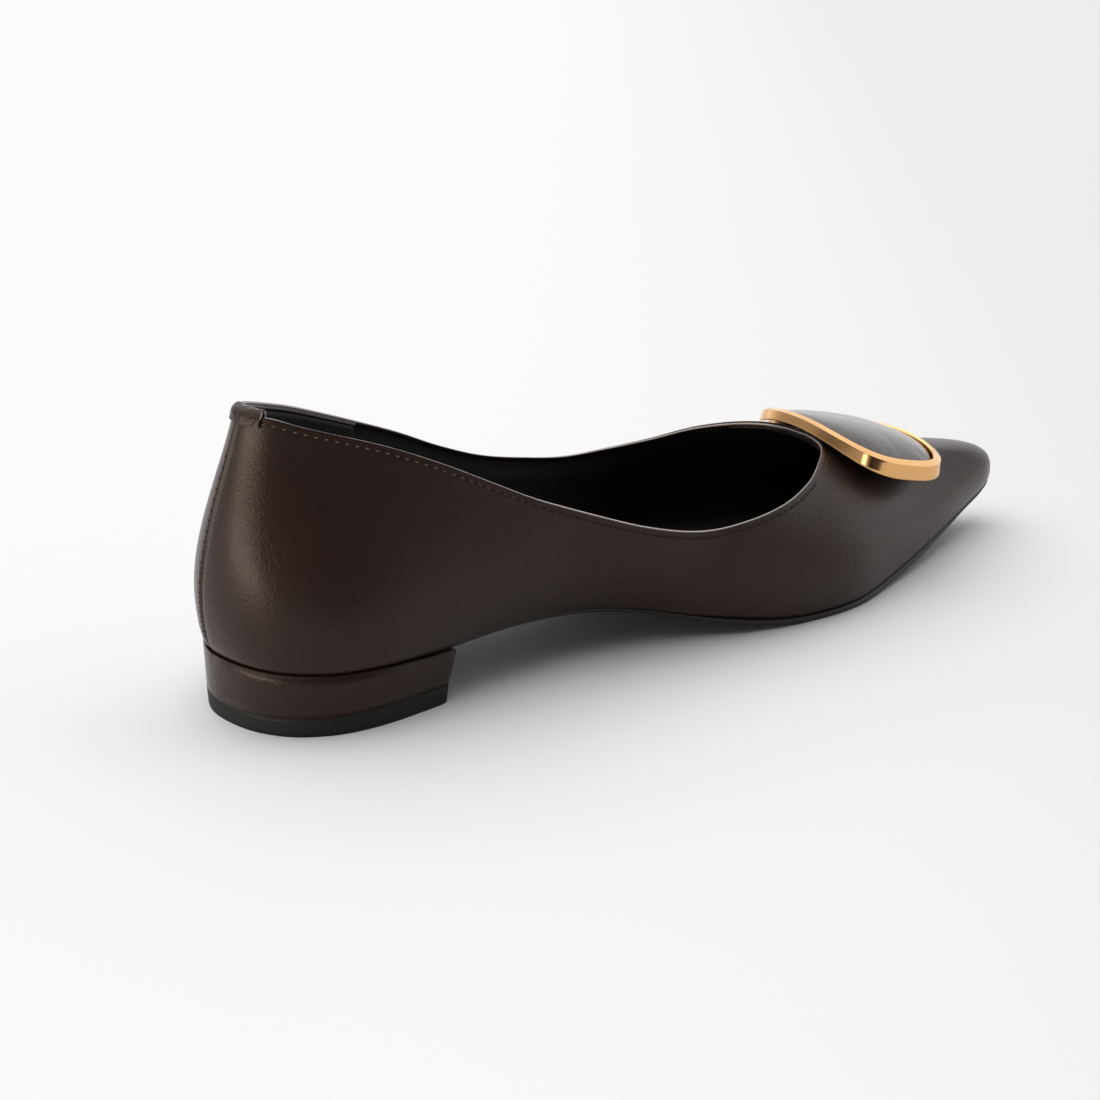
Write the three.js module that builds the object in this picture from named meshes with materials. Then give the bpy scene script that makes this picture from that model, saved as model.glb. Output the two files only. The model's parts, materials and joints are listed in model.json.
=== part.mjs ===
// Pointed toe flat shoe: a low-cut leather flat with a low wrapped heel and a gold ring buckle.
// Millimetres, +Z up, +X from the heel to the toe, +Y to the shoe's left.
// The origin is the middle of the top-lift's face on the floor.

import * as THREE from 'three';

// Driving dimensions of the last
const LENGTH = 250;            // feather line, from the heel's back to the toe's tip
const HEEL_REACH = 26.3;       // from the origin back to the feather line's end
const BALL_WIDTH = 76;         // feather line, across the ball
const HEEL_HEIGHT = 17.3;      // feather line above the floor at the back
const TOE_SPRING = 11.7;       // feather line above the floor at the toe's tip
const BACK_HEIGHT = 74;        // topline above the floor at the back
const THROAT_HEIGHT = 38.9;    // topline above the floor at the throat's middle

// Leather, sole and heel
const WALL = 1.9;              // upper leather, stiffener and lining together
const SOLE = 1.6;              // outsole at the ball
const SHANK_SOLE = 1.0;        // outsole under the waist
const TOE_SOLE = 0.9;          // outsole thinned at the toe's tip
const SEAT_SOLE = 0.5;         // outsole skived over the heel seat
const SOLE_EDGE = 0.4;         // how far the outsole stands out at the ball
const TOE_EDGE = 0;            // the same at the toe's tip
const SEAT_INSET = 1.0;        // how far the outsole stays in over the heel and the waist
const INSOLE = 2.4;            // insole board with its sock
const LIFT = 4.7;              // top-lift
const HEEL_FRONT = 27;         // from the origin to the heel's front at its top
const FRONT_RAKE = 2.2;        // how far the heel's front leans back to the lift
const LIFT_RAKE = 0.5;         // how far the lift's front leans back to the floor
const HEEL_TAPER = 0.3;        // how far the wrapped heel draws in to the lift
const LIFT_TAPER = 0.2;        // how far the lift draws in to the floor
const GAP = 0.3;               // clearance between neighbouring curved pieces
const SOLE_BEVEL = 0.35;       // outsole's edge drawn in at its underside

// Back seam and tab
const SEAM_WIDTH = 1.8;        // groove where the two quarters meet
const SEAM_DEPTH = 0.5;
const RIM_ROLL = 0.35;         // height of the rolled topline, as a share of the wall
const TAB_WIDTH = 9.4;
const TAB_SHIFT = 2.4;         // how far the tab sits to the inner side of the seam
const TAB_LEATHER = 0.8;
const TAB_OUTSIDE = 1.8;       // how far the tab reaches down the back
const TAB_INSIDE = 8;
const TAB_LOFT = 0.7;          // how far the fold stands up over the topline

// Buckle
const RING_SETBACK = 15.7;     // from the throat forward to the ring's middle
const RING_OFFSET = -0.2;      // to the shoe's left
const RING_TURN = 3.5;          // degrees, seen from above
const RING_LENGTH = 40;        // along the foot
const RING_WIDTH = 50.4;       // across the foot
const RING_HEIGHT = 3.1;       // at the middle of its front and rear bars
const RING_WALL = 2.4;
const RING_BEVEL = 0.5;
const RING_DRAFT = 0.35;       // how far the outer wall leans in, from its foot to its top
const RING_SQUARENESS = 2.9;    // exponent of the rounded square
const RING_LIFT = 1.9;         // ring's underside above the vamp's ridge
const RING_SLOPE = 0.29;       // fall towards the toe
const RING_BEND = 50;          // radius of its underside across the vamp
const RING_TOP_BEND = 63;      // radius of its top
const PANEL_BASE = 0.6;        // panel's underside above the ring's, where it passes the throat
const PANEL_SEAT = 0.4;        // share of the panel, in its middle, that sits down on the vamp
const PANEL_EDGE = 2.3;        // panel's edge above the ring's underside
const PANEL_DOME = 1.7;        // how far the panel's middle stands over its edge

// Heights of the feather line: shares of the heel's height and of the toe spring.
const BOTTOM = [
  { along: 0.000, heel: 1.000, toe: 0 },
  { along: 0.105, heel: 0.916, toe: 0 },
  { along: 0.213, heel: 0.844, toe: 0 },
  { along: 0.273, heel: 0.831, toe: 0 },
  { along: 0.339, heel: 0.760, toe: 0 },
  { along: 0.400, heel: 0.645, toe: 0 },
  { along: 0.453, heel: 0.492, toe: 0 },
  { along: 0.501, heel: 0.325, toe: 0 },
  { along: 0.549, heel: 0.168, toe: 0 },
  { along: 0.595, heel: 0.046, toe: 0 },
  { along: 0.629, heel: 0, toe: 0 },
  { along: 0.705, heel: 0, toe: 0 },
  { along: 0.781, heel: 0, toe: 0.160 },
  { along: 0.869, heel: 0, toe: 0.459 },
  { along: 0.947, heel: 0, toe: 0.776 },
  { along: 1.000, heel: 0, toe: 1.000 },
];

// Ribs of the upper, from the feather line up to the topline.
// along and topAlong are shares of LENGTH, out and topOut of half of BALL_WIDTH,
// top of the height between the throat and the back, so that 0 is the throat and 1 the back.
// flare is the rib's angle out at the feather line, lean its angle over the level at the topline,
// low and high are the two handles of its curve as shares of its span.
const BACK = { along: 0, out: 0, topAlong: 0.042, topOut: 0, top: 1, flare: 15, lean: 75, low: 0.36, high: 0.34 };
const TOE = { along: 1, out: 0.020, topAlong: 0.722, topOut: 0, top: 0, flare: 15, lean: 22.5, low: 0.27, high: 0.52 };

const INNER_SIDE = [
  { along: 0.003, out: 0.200, topAlong: 0.047, topOut: 0.118, top: 0.997, flare: 15, lean: 75, low: 0.36, high: 0.34 },
  { along: 0.014, out: 0.410, topAlong: 0.061, topOut: 0.226, top: 0.985, flare: 15, lean: 75, low: 0.36, high: 0.34 },
  { along: 0.037, out: 0.600, topAlong: 0.083, topOut: 0.300, top: 0.927, flare: 15, lean: 75, low: 0.36, high: 0.34 },
  { along: 0.077, out: 0.734, topAlong: 0.117, topOut: 0.384, top: 0.848, flare: 15, lean: 75, low: 0.36, high: 0.34 },
  { along: 0.125, out: 0.763, topAlong: 0.161, topOut: 0.489, top: 0.742, flare: 17, lean: 76, low: 0.36, high: 0.34 },
  { along: 0.181, out: 0.716, topAlong: 0.211, topOut: 0.579, top: 0.585, flare: 20, lean: 78, low: 0.37, high: 0.34 },
  { along: 0.241, out: 0.642, topAlong: 0.263, topOut: 0.642, top: 0.392, flare: 27, lean: 80, low: 0.38, high: 0.34 },
  { along: 0.305, out: 0.568, topAlong: 0.315, topOut: 0.684, top: 0.199, flare: 36, lean: 80, low: 0.40, high: 0.34 },
  { along: 0.369, out: 0.532, topAlong: 0.369, topOut: 0.737, top: 0.034, flare: 41, lean: 80, low: 0.40, high: 0.34 },
  { along: 0.433, out: 0.584, topAlong: 0.429, topOut: 0.805, top: -0.126, flare: 39, lean: 79, low: 0.40, high: 0.34 },
  { along: 0.497, out: 0.737, topAlong: 0.489, topOut: 0.853, top: -0.225, flare: 32, lean: 77, low: 0.40, high: 0.34 },
  { along: 0.561, out: 0.847, topAlong: 0.549, topOut: 0.874, top: -0.212, flare: 25, lean: 74, low: 0.42, high: 0.34 },
  { along: 0.625, out: 0.895, topAlong: 0.603, topOut: 0.816, top: -0.172, flare: 20, lean: 66, low: 0.44, high: 0.36 },
  { along: 0.693, out: 0.868, topAlong: 0.651, topOut: 0.674, top: -0.109, flare: 17, lean: 52, low: 0.42, high: 0.40 },
  { along: 0.769, out: 0.689, topAlong: 0.685, topOut: 0.495, top: -0.057, flare: 15, lean: 36, low: 0.36, high: 0.45 },
  { along: 0.853, out: 0.458, topAlong: 0.712, topOut: 0.305, top: -0.020, flare: 13, lean: 28, low: 0.29, high: 0.50 },
  { along: 0.933, out: 0.221, topAlong: 0.721, topOut: 0.132, top: -0.003, flare: 14, lean: 23, low: 0.27, high: 0.52 },
  { along: 0.979, out: 0.084, topAlong: 0.722, topOut: 0.047, top: 0.000, flare: 15, lean: 22.5, low: 0.27, high: 0.52 },
];

const OUTER_SIDE = [
  { along: 0.006, out: 0.170, topAlong: 0.047, topOut: 0.126, top: 1.000, flare: 15, lean: 75, low: 0.36, high: 0.34 },
  { along: 0.021, out: 0.360, topAlong: 0.063, topOut: 0.237, top: 0.977, flare: 15, lean: 75, low: 0.36, high: 0.34 },
  { along: 0.047, out: 0.545, topAlong: 0.087, topOut: 0.332, top: 0.917, flare: 15, lean: 75, low: 0.36, high: 0.34 },
  { along: 0.084, out: 0.676, topAlong: 0.125, topOut: 0.421, top: 0.821, flare: 15, lean: 75, low: 0.36, high: 0.34 },
  { along: 0.129, out: 0.732, topAlong: 0.169, topOut: 0.489, top: 0.692, flare: 16, lean: 76, low: 0.36, high: 0.34 },
  { along: 0.185, out: 0.726, topAlong: 0.217, topOut: 0.558, top: 0.543, flare: 18, lean: 78, low: 0.37, high: 0.34 },
  { along: 0.249, out: 0.705, topAlong: 0.267, topOut: 0.647, top: 0.378, flare: 21, lean: 79, low: 0.38, high: 0.34 },
  { along: 0.317, out: 0.695, topAlong: 0.321, topOut: 0.726, top: 0.183, flare: 25, lean: 80, low: 0.40, high: 0.34 },
  { along: 0.385, out: 0.732, topAlong: 0.379, topOut: 0.789, top: 0.011, flare: 27, lean: 80, low: 0.40, high: 0.34 },
  { along: 0.449, out: 0.821, topAlong: 0.439, topOut: 0.858, top: -0.109, flare: 26, lean: 79, low: 0.40, high: 0.34 },
  { along: 0.513, out: 0.947, topAlong: 0.497, topOut: 0.916, top: -0.195, flare: 22, lean: 77, low: 0.40, high: 0.34 },
  { along: 0.573, out: 1.042, topAlong: 0.555, topOut: 0.937, top: -0.212, flare: 18, lean: 73, low: 0.42, high: 0.34 },
  { along: 0.629, out: 1.063, topAlong: 0.609, topOut: 0.895, top: -0.189, flare: 16, lean: 65, low: 0.44, high: 0.36 },
  { along: 0.689, out: 1.000, topAlong: 0.655, topOut: 0.779, top: -0.118, flare: 14, lean: 52, low: 0.42, high: 0.40 },
  { along: 0.757, out: 0.837, topAlong: 0.688, topOut: 0.595, top: -0.058, flare: 13, lean: 36, low: 0.36, high: 0.45 },
  { along: 0.841, out: 0.589, topAlong: 0.708, topOut: 0.368, top: -0.014, flare: 12, lean: 28, low: 0.29, high: 0.50 },
  { along: 0.927, out: 0.316, topAlong: 0.718, topOut: 0.158, top: 0.003, flare: 14, lean: 23, low: 0.27, high: 0.52 },
  { along: 0.977, out: 0.147, topAlong: 0.721, topOut: 0.058, top: 0.000, flare: 15, lean: 22.5, low: 0.27, high: 0.52 },
];

// A rib's topline end points in from this share of its span outside the feather line
const RIB_REACH = 0.15;

// Where the outsole thickens and its edge comes out, as shares of LENGTH
const SEAT_SKIVE = { from: -0.12, to: 0.01 };
const BALL_SKIVE = { from: 0.42, to: 0.56 };
const EDGE_OUT = { from: 0.40, to: 0.57 };
const TOE_SKIVE = { from: 0.78, to: 0.97 };

// Fineness
const RIBS_PER_SIDE = 52;
const OUTER_ROWS = 11;
const RIM_ROWS = 3;
const STATIONS = 44;
const ACROSS = 6;
const RING_STEPS = 60;
const PANEL_RINGS = 5;
const HEEL_STATIONS = 18;
const TAB_COLUMNS = 8;
const TAB_ROWS = 4;
const TAB_ROLL_ROWS = 6;

const DEGREE = Math.PI / 180;
const clamp = (value, low, high) => Math.min(high, Math.max(low, value));
const mix = (a, b, t) => a + (b - a) * t;
const smooth = (from, to, value) => {
  const t = clamp((value - from) / (to - from), 0, 1);
  return t * t * (3 - 2 * t);
};
const vec = (x, y, z) => new THREE.Vector3(x, y, z);

// A smooth curve through named columns at uneven knots. A closed one runs round to its first row.
function splineOf(rows, knots, closed) {
  const count = rows.length;
  const period = closed ? knots[count] : 0;
  const row = (i) => rows[closed ? ((i % count) + count) % count : clamp(i, 0, count - 1)];
  const knot = (i) => (closed ? knots[((i % count) + count) % count] + Math.floor(i / count) * period
    : knots[clamp(i, 0, count - 1)]);
  const columns = Object.keys(rows[0]);
  const slope = (i, name) => {
    const before = knot(i) - knot(i - 1);
    const after = knot(i + 1) - knot(i);
    if (before === 0) return (row(i + 1)[name] - row(i)[name]) / after;
    if (after === 0) return (row(i)[name] - row(i - 1)[name]) / before;
    const fromBefore = (row(i)[name] - row(i - 1)[name]) / before;
    const fromAfter = (row(i + 1)[name] - row(i)[name]) / after;
    return (fromBefore * after + fromAfter * before) / (before + after);
  };
  return (t) => {
    const last = closed ? count - 1 : count - 2;
    let i = 0;
    while (i < last && t >= knot(i + 1)) i += 1;
    const step = knot(i + 1) - knot(i);
    const u = (t - knot(i)) / step;
    const value = {};
    for (const name of columns) {
      const a = row(i)[name];
      const b = row(i + 1)[name];
      const m = slope(i, name) * step;
      const n = slope(i + 1, name) * step;
      value[name] = a + u * m + u * u * (3 * (b - a) - 2 * m - n) + u * u * u * (m + n - 2 * (b - a));
    }
    return value;
  };
}

// Bottom of the last
const ballLevel = SOLE + GAP;
const bottomCurve = splineOf(BOTTOM, BOTTOM.map((row) => row.along), false);
const ballRows = BOTTOM.filter((row) => row.heel === 0 && row.toe === 0);
const BALL_FROM = ballRows[0].along;
const BALL_TO = ballRows[ballRows.length - 1].along;
function featherHeight(along) {
  if (along >= BALL_FROM && along <= BALL_TO) return ballLevel;
  const row = bottomCurve(clamp(along, 0, 1));
  const rise = row.heel * (HEEL_HEIGHT - ballLevel) + row.toe * (TOE_SPRING - ballLevel);
  return ballLevel + Math.max(0, rise);
}
const alongOf = (x) => (x + HEEL_REACH) / LENGTH;
const xOf = (along) => along * LENGTH - HEEL_REACH;

// Ribs round the last: back, inner side, toe, outer side, and back again
const mirrored = (rows, side) => rows.map((row) => ({ ...row, out: row.out * side, topOut: row.topOut * side }));
const ribRows = [BACK, ...mirrored(INNER_SIDE, -1), TOE, ...mirrored(OUTER_SIDE, 1).reverse()];
const ribKnots = [0];
ribRows.forEach((row, i) => {
  const next = ribRows[(i + 1) % ribRows.length];
  const foot = Math.hypot((next.along - row.along) * LENGTH, (next.out - row.out) * BALL_WIDTH / 2);
  const top = Math.hypot((next.topAlong - row.topAlong) * LENGTH, (next.topOut - row.topOut) * BALL_WIDTH / 2);
  ribKnots.push(ribKnots[i] + Math.sqrt(foot + top));
});
const ribCurve = splineOf(ribRows, ribKnots, true);
const wholeRound = ribKnots[ribRows.length];
const toeKnot = ribKnots[INNER_SIDE.length + 1];

const around = (s) => ((s % wholeRound) + wholeRound) % wholeRound;
function footPoint(s) {
  const row = ribCurve(around(s));
  return vec(xOf(row.along), row.out * BALL_WIDTH / 2, featherHeight(row.along));
}
// Level direction out of the last at the feather line
function outwardAt(s) {
  const step = wholeRound / 2000;
  const run = footPoint(s + step).sub(footPoint(s - step));
  return vec(run.y, -run.x, 0).normalize();
}

// One rib: a cubic curve from the feather line to the topline
function ribAt(s) {
  const row = ribCurve(around(s));
  const foot = footPoint(s);
  const height = THROAT_HEIGHT + row.top * (BACK_HEIGHT - THROAT_HEIGHT);
  const top = vec(xOf(row.topAlong), row.topOut * BALL_WIDTH / 2, height);
  const out = outwardAt(s);
  const span = foot.distanceTo(top);
  const reach = foot.clone().addScaledVector(out, RIB_REACH * span);
  const inward = top.clone().sub(reach).setZ(0).normalize();
  const first = foot.clone()
    .addScaledVector(out, Math.sin(row.flare * DEGREE) * row.low * span)
    .add(vec(0, 0, Math.cos(row.flare * DEGREE) * row.low * span));
  const second = top.clone()
    .addScaledVector(inward, -Math.cos(row.lean * DEGREE) * row.high * span)
    .add(vec(0, 0, -Math.sin(row.lean * DEGREE) * row.high * span));
  return new THREE.CubicBezierCurve3(foot, first, second, top);
}
const skinPoint = (s, t) => ribAt(s).getPoint(t);
function skinNormal(s, t) {
  const ds = wholeRound / 1500;
  const round = skinPoint(s + ds, t).sub(skinPoint(s - ds, t));
  const dt = 0.01;
  const rise = skinPoint(s, Math.min(1, t + dt)).sub(skinPoint(s, Math.max(0, t - dt)));
  return round.cross(rise).normalize();
}

// Direction of a rib where it meets the topline
const riseAt = (s) => skinPoint(s, 1).sub(skinPoint(s, 0.98)).normalize();

// Knots to a millimetre round the back seam, at a share of the ribs' height
const knotsPerMillimetre = (t) => 1 / skinPoint(0.5, t).distanceTo(skinPoint(-0.5, t));

// Where the ribs stand, as knots: evenly along each side, with the back seam's two edges
function ribStations() {
  const seamReach = knotsPerMillimetre(0.5) * SEAM_WIDTH / 2;
  const side = (from, to) => {
    const list = [];
    for (let i = 1; i < RIBS_PER_SIDE; i += 1) list.push(mix(from, to, i / RIBS_PER_SIDE));
    return list;
  };
  return [
    { s: 0, seam: 1 },
    { s: seamReach, seam: 0 },
    ...side(0, toeKnot).map((s) => ({ s, seam: 0 })),
    { s: toeKnot, seam: 0 },
    ...side(toeKnot, wholeRound).map((s) => ({ s, seam: 0 })),
    { s: wholeRound - seamReach, seam: 0 },
  ];
}

// Closed surface over a grid that runs round in both directions
function closedGrid(columns) {
  const rows = columns[0].length;
  const points = columns.flat();
  const index = [];
  for (let i = 0; i < columns.length; i += 1) {
    const next = (i + 1) % columns.length;
    for (let j = 0; j < rows; j += 1) {
      const up = (j + 1) % rows;
      const a = i * rows + j;
      const b = next * rows + j;
      const c = next * rows + up;
      const d = i * rows + up;
      index.push(a, b, c, a, c, d);
    }
  }
  return solidOf(points, index);
}

function solidOf(points, index) {
  const geometry = new THREE.BufferGeometry();
  geometry.setAttribute('position', new THREE.Float32BufferAttribute(points.flatMap((p) => [p.x, p.y, p.z]), 3));
  geometry.setIndex(index);
  geometry.computeVertexNormals();
  return geometry;
}

// The rolled topline, from the outer skin over to the lining
function rimPoints(s) {
  const edge = skinPoint(s, 1);
  const normal = skinNormal(s, 1);
  const rise = riseAt(s);
  const points = [];
  for (let k = 1; k <= RIM_ROWS; k += 1) {
    const angle = Math.PI * k / (RIM_ROWS + 1);
    points.push(edge.clone()
      .addScaledVector(normal, -WALL * (1 - Math.cos(angle)) / 2)
      .addScaledVector(rise, WALL * RIM_ROLL * Math.sin(angle)));
  }
  return points;
}

// The upper: outer skin, rolled topline, lining and the lasted edge that the sole closes
function upper() {
  const columns = ribStations().map(({ s, seam }) => {
    const column = [];
    const inside = [];
    for (let j = 0; j <= OUTER_ROWS; j += 1) {
      const t = j / OUTER_ROWS;
      const point = skinPoint(s, t);
      const normal = skinNormal(s, t);
      column.push(point.clone().addScaledVector(normal, -seam * SEAM_DEPTH));
      const lining = point.clone().addScaledVector(normal, -WALL);
      if (j === 0) {
        const level = normal.clone().setZ(0).normalize();
        lining.copy(point).addScaledVector(level, -WALL);
      }
      inside.unshift(lining);
    }
    return [...column, ...rimPoints(s), ...inside];
  });
  return closedGrid(columns);
}

// A knot on one side of the last at a share of its length
function knotAt(along, side) {
  let low = side < 0 ? 0 : wholeRound;
  let high = toeKnot;
  for (let i = 0; i < 50; i += 1) {
    const middle = (low + high) / 2;
    if (ribCurve(around(middle)).along < along) low = middle;
    else high = middle;
  }
  return (low + high) / 2;
}
function featherAt(along, side, offset) {
  const s = knotAt(along, side);
  return footPoint(s).addScaledVector(outwardAt(s), offset);
}

// A plate between two faces. Each station gives its two edge points on either face,
// and a station whose edges meet is one point.
function plate(stations, bottomAt, topAt, bottomInset, topInset, across = ACROSS) {
  const points = [];
  const index = [];
  const line = (station, inset, heightAt) => {
    const outer = featherAt(station.along, -1, inset(station.along));
    const inner = featherAt(station.along, 1, inset(station.along));
    const start = points.length;
    const count = station.end ? 1 : across + 1;
    for (let k = 0; k < count; k += 1) {
      const t = station.end ? 0.5 : k / across;
      const point = outer.clone().lerp(inner, t);
      if (station.x !== undefined) point.x = station.x(heightAt === topAt);
      points.push(point.setZ(heightAt(alongOf(point.x))));
    }
    return Array.from({ length: across + 1 }, (_, k) => start + (station.end ? 0 : k));
  };
  const faces = stations.map((station) => ({
    bottom: line(station, bottomInset, bottomAt),
    top: line(station, topInset, topAt),
  }));
  const tri = (a, b, c) => {
    if (a !== b && b !== c && c !== a) index.push(a, b, c);
  };
  const quad = (a, b, c, d) => {
    tri(a, b, c);
    tri(a, c, d);
  };
  for (let i = 0; i + 1 < faces.length; i += 1) {
    const here = faces[i];
    const next = faces[i + 1];
    for (let k = 0; k < across; k += 1) {
      quad(here.top[k], next.top[k], next.top[k + 1], here.top[k + 1]);
      quad(here.bottom[k], here.bottom[k + 1], next.bottom[k + 1], next.bottom[k]);
    }
    quad(here.bottom[0], next.bottom[0], next.top[0], here.top[0]);
    quad(next.bottom[across], here.bottom[across], here.top[across], next.top[across]);
  }
  const front = faces[faces.length - 1];
  if (!stations[stations.length - 1].end) {
    for (let k = 0; k < across; k += 1) {
      quad(front.bottom[k], front.bottom[k + 1], front.top[k + 1], front.top[k]);
    }
  }
  const used = new Map();
  const kept = [];
  const renumbered = index.map((i) => {
    if (!used.has(i)) {
      used.set(i, kept.length);
      kept.push(points[i]);
    }
    return used.get(i);
  });
  return solidOf(kept, renumbered);
}

// Stations along the last, closer together at both round ends
function stationsOf(from, to, count, closedFront) {
  const list = [];
  for (let i = 0; i <= count; i += 1) {
    const t = i / count;
    const eased = closedFront ? (1 - Math.cos(Math.PI * t)) / 2 : 1 - Math.cos(Math.PI * t / 2);
    list.push({ along: mix(from, to, eased), end: i === 0 || (closedFront && i === count) });
  }
  return list;
}

const heelFront = alongOf(HEEL_FRONT);
function soleThickness(along) {
  const waist = smooth(heelFront + SEAT_SKIVE.from, heelFront + SEAT_SKIVE.to, along);
  const overSeat = mix(SEAT_SOLE, SHANK_SOLE, waist);
  const underBall = mix(overSeat, SOLE, smooth(BALL_SKIVE.from, BALL_SKIVE.to, along));
  return mix(underBall, TOE_SOLE, smooth(TOE_SKIVE.from, TOE_SKIVE.to, along));
}
const soleTop = (along) => featherHeight(along) - GAP;
const soleBottom = (along) => soleTop(along) - soleThickness(along);
const soleEdge = (along) => {
  const behindToe = mix(-SEAT_INSET, SOLE_EDGE, smooth(EDGE_OUT.from, EDGE_OUT.to, along));
  return mix(behindToe, TOE_EDGE, smooth(TOE_SKIVE.from, TOE_SKIVE.to, along));
};

function outsole() {
  const stations = stationsOf(0, 1, STATIONS, true);
  const bottomEdge = (along) => soleEdge(along) - SOLE_BEVEL;
  return plate(stations, soleBottom, soleTop, bottomEdge, soleEdge);
}

function insole() {
  const stations = stationsOf(0, 1, STATIONS, true);
  const edge = () => -(WALL + GAP);
  return plate(stations, featherHeight, (along) => featherHeight(along) + INSOLE, edge, edge);
}

// The heel's stations end in its flat front, whose place is given for its top and its underside
function heelStations(frontAt) {
  const list = stationsOf(0, heelFront, HEEL_STATIONS, false);
  list[HEEL_STATIONS].x = frontAt;
  return list;
}
function heelBlock() {
  const top = (along) => soleBottom(along) - GAP;
  const stations = heelStations((isTop) => (isTop ? HEEL_FRONT : HEEL_FRONT - FRONT_RAKE));
  return plate(stations, () => LIFT, top, () => -HEEL_TAPER, () => 0);
}
function heelTopLift() {
  const liftFront = HEEL_FRONT - FRONT_RAKE;
  const stations = heelStations((isTop) => (isTop ? liftFront : liftFront - LIFT_RAKE));
  return plate(stations, () => 0, () => LIFT, () => -HEEL_TAPER - LIFT_TAPER, () => -HEEL_TAPER);
}

// The tab: a strip folded over the topline at the back seam
function tabLayer(s, span, offset) {
  const path = [];
  for (let j = 0; j <= TAB_ROWS; j += 1) {
    const t = 1 - TAB_OUTSIDE / span * (1 - j / TAB_ROWS);
    path.push(skinPoint(s, t).addScaledVector(skinNormal(s, t), offset));
  }
  const edge = skinPoint(s, 1);
  const normal = skinNormal(s, 1);
  const rise = riseAt(s);
  for (let k = 1; k < TAB_ROLL_ROWS; k += 1) {
    const angle = Math.PI * k / TAB_ROLL_ROWS;
    path.push(edge.clone()
      .addScaledVector(normal, -WALL / 2 + (WALL / 2 + offset) * Math.cos(angle))
      .addScaledVector(rise, (WALL * RIM_ROLL + TAB_LOFT + offset) * Math.sin(angle)));
  }
  for (let j = 0; j <= TAB_ROWS; j += 1) {
    const t = 1 - TAB_INSIDE / span * j / TAB_ROWS;
    path.push(skinPoint(s, t).addScaledVector(skinNormal(s, t), -WALL - offset));
  }
  return path;
}
function heelTab() {
  const perMillimetre = knotsPerMillimetre(1);
  const reach = perMillimetre * TAB_WIDTH / 2;
  const middle = perMillimetre * TAB_SHIFT;
  const span = BACK_HEIGHT - HEEL_HEIGHT;
  const columns = [];
  for (let i = 0; i <= TAB_COLUMNS; i += 1) {
    const s = middle + mix(-reach, reach, i / TAB_COLUMNS);
    columns.push([...tabLayer(s, span, GAP + TAB_LEATHER), ...tabLayer(s, span, GAP).reverse()]);
  }
  return closedStrip(columns);
}

// Closed surface over columns that are rings, with flat ends on the first and the last
function closedStrip(columns) {
  const rows = columns[0].length;
  const points = columns.flat();
  const index = [];
  for (let i = 0; i + 1 < columns.length; i += 1) {
    for (let j = 0; j < rows; j += 1) {
      const up = (j + 1) % rows;
      const a = i * rows + j;
      const b = (i + 1) * rows + j;
      const c = (i + 1) * rows + up;
      const d = i * rows + up;
      index.push(a, b, c, a, c, d);
    }
  }
  const half = rows / 2;
  const end = (start, turned) => {
    for (let j = 0; j + 1 < half; j += 1) {
      const a = start + j;
      const b = start + j + 1;
      const c = start + rows - 2 - j;
      const d = start + rows - 1 - j;
      if (turned) index.push(a, c, b, a, d, c);
      else index.push(a, b, c, a, c, d);
    }
  };
  end(0, false);
  end((columns.length - 1) * rows, true);
  return solidOf(points, index);
}

// The vamp's height under a point, from the upper's own skin
const VAMP_FROM = 0.6;
const VAMP_COLUMNS = 60;
const VAMP_ROWS = 24;
const vampGrid = [];
for (let i = 0; i <= VAMP_COLUMNS; i += 1) {
  const s = mix(knotAt(VAMP_FROM, -1), knotAt(VAMP_FROM, 1), i / VAMP_COLUMNS);
  const column = [];
  for (let j = 0; j <= VAMP_ROWS; j += 1) column.push(skinPoint(s, j / VAMP_ROWS));
  column.push(...rimPoints(s));
  vampGrid.push(column);
}
function heightInTriangle(a, b, c, x, y) {
  const area = (b.x - a.x) * (c.y - a.y) - (c.x - a.x) * (b.y - a.y);
  if (Math.abs(area) < 1e-9) return -Infinity;
  const u = ((x - a.x) * (c.y - a.y) - (c.x - a.x) * (y - a.y)) / area;
  const v = ((b.x - a.x) * (y - a.y) - (x - a.x) * (b.y - a.y)) / area;
  if (u < -1e-6 || v < -1e-6 || u + v > 1 + 1e-6) return -Infinity;
  return a.z + u * (b.z - a.z) + v * (c.z - a.z);
}
function vampHeight(x, y) {
  let best = -Infinity;
  for (let i = 0; i + 1 < vampGrid.length; i += 1) {
    for (let j = 0; j + 1 < vampGrid[i].length; j += 1) {
      const a = vampGrid[i][j];
      const b = vampGrid[i + 1][j];
      const c = vampGrid[i + 1][j + 1];
      const d = vampGrid[i][j + 1];
      best = Math.max(best, heightInTriangle(a, b, c, x, y), heightInTriangle(a, c, d, x, y));
    }
  }
  return best;
}

// The buckle is cast straight up from a bent base: it falls towards the toe and down at both sides,
// and its top is bent less, so that its sides are deeper than its front and rear bars.
const ringX = xOf(TOE.topAlong) + RING_SETBACK;
const ringBase = vampHeight(ringX, RING_OFFSET) + RING_LIFT;
function ringPoint(x, y, height) {
  const share = clamp(height / RING_HEIGHT, 0, 1);
  const bend = mix(1 / RING_BEND, 1 / RING_TOP_BEND, share);
  const across = y - RING_OFFSET;
  const z = ringBase + height - RING_SLOPE * (x - ringX) - across * across * bend / 2;
  return vec(x + RING_SLOPE * height, y, z);
}
function ringOutline(angle, inset, share = 1) {
  const power = 2 / RING_SQUARENESS;
  const along = Math.cos(angle);
  const across = Math.sin(angle);
  const x = share * (RING_LENGTH / 2 - inset) * Math.sign(along) * Math.abs(along) ** power;
  const y = share * (RING_WIDTH / 2 - inset) * Math.sign(across) * Math.abs(across) ** power;
  const turn = RING_TURN * DEGREE;
  return {
    x: ringX + x * Math.cos(turn) - y * Math.sin(turn),
    y: RING_OFFSET + x * Math.sin(turn) + y * Math.cos(turn),
  };
}
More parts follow.
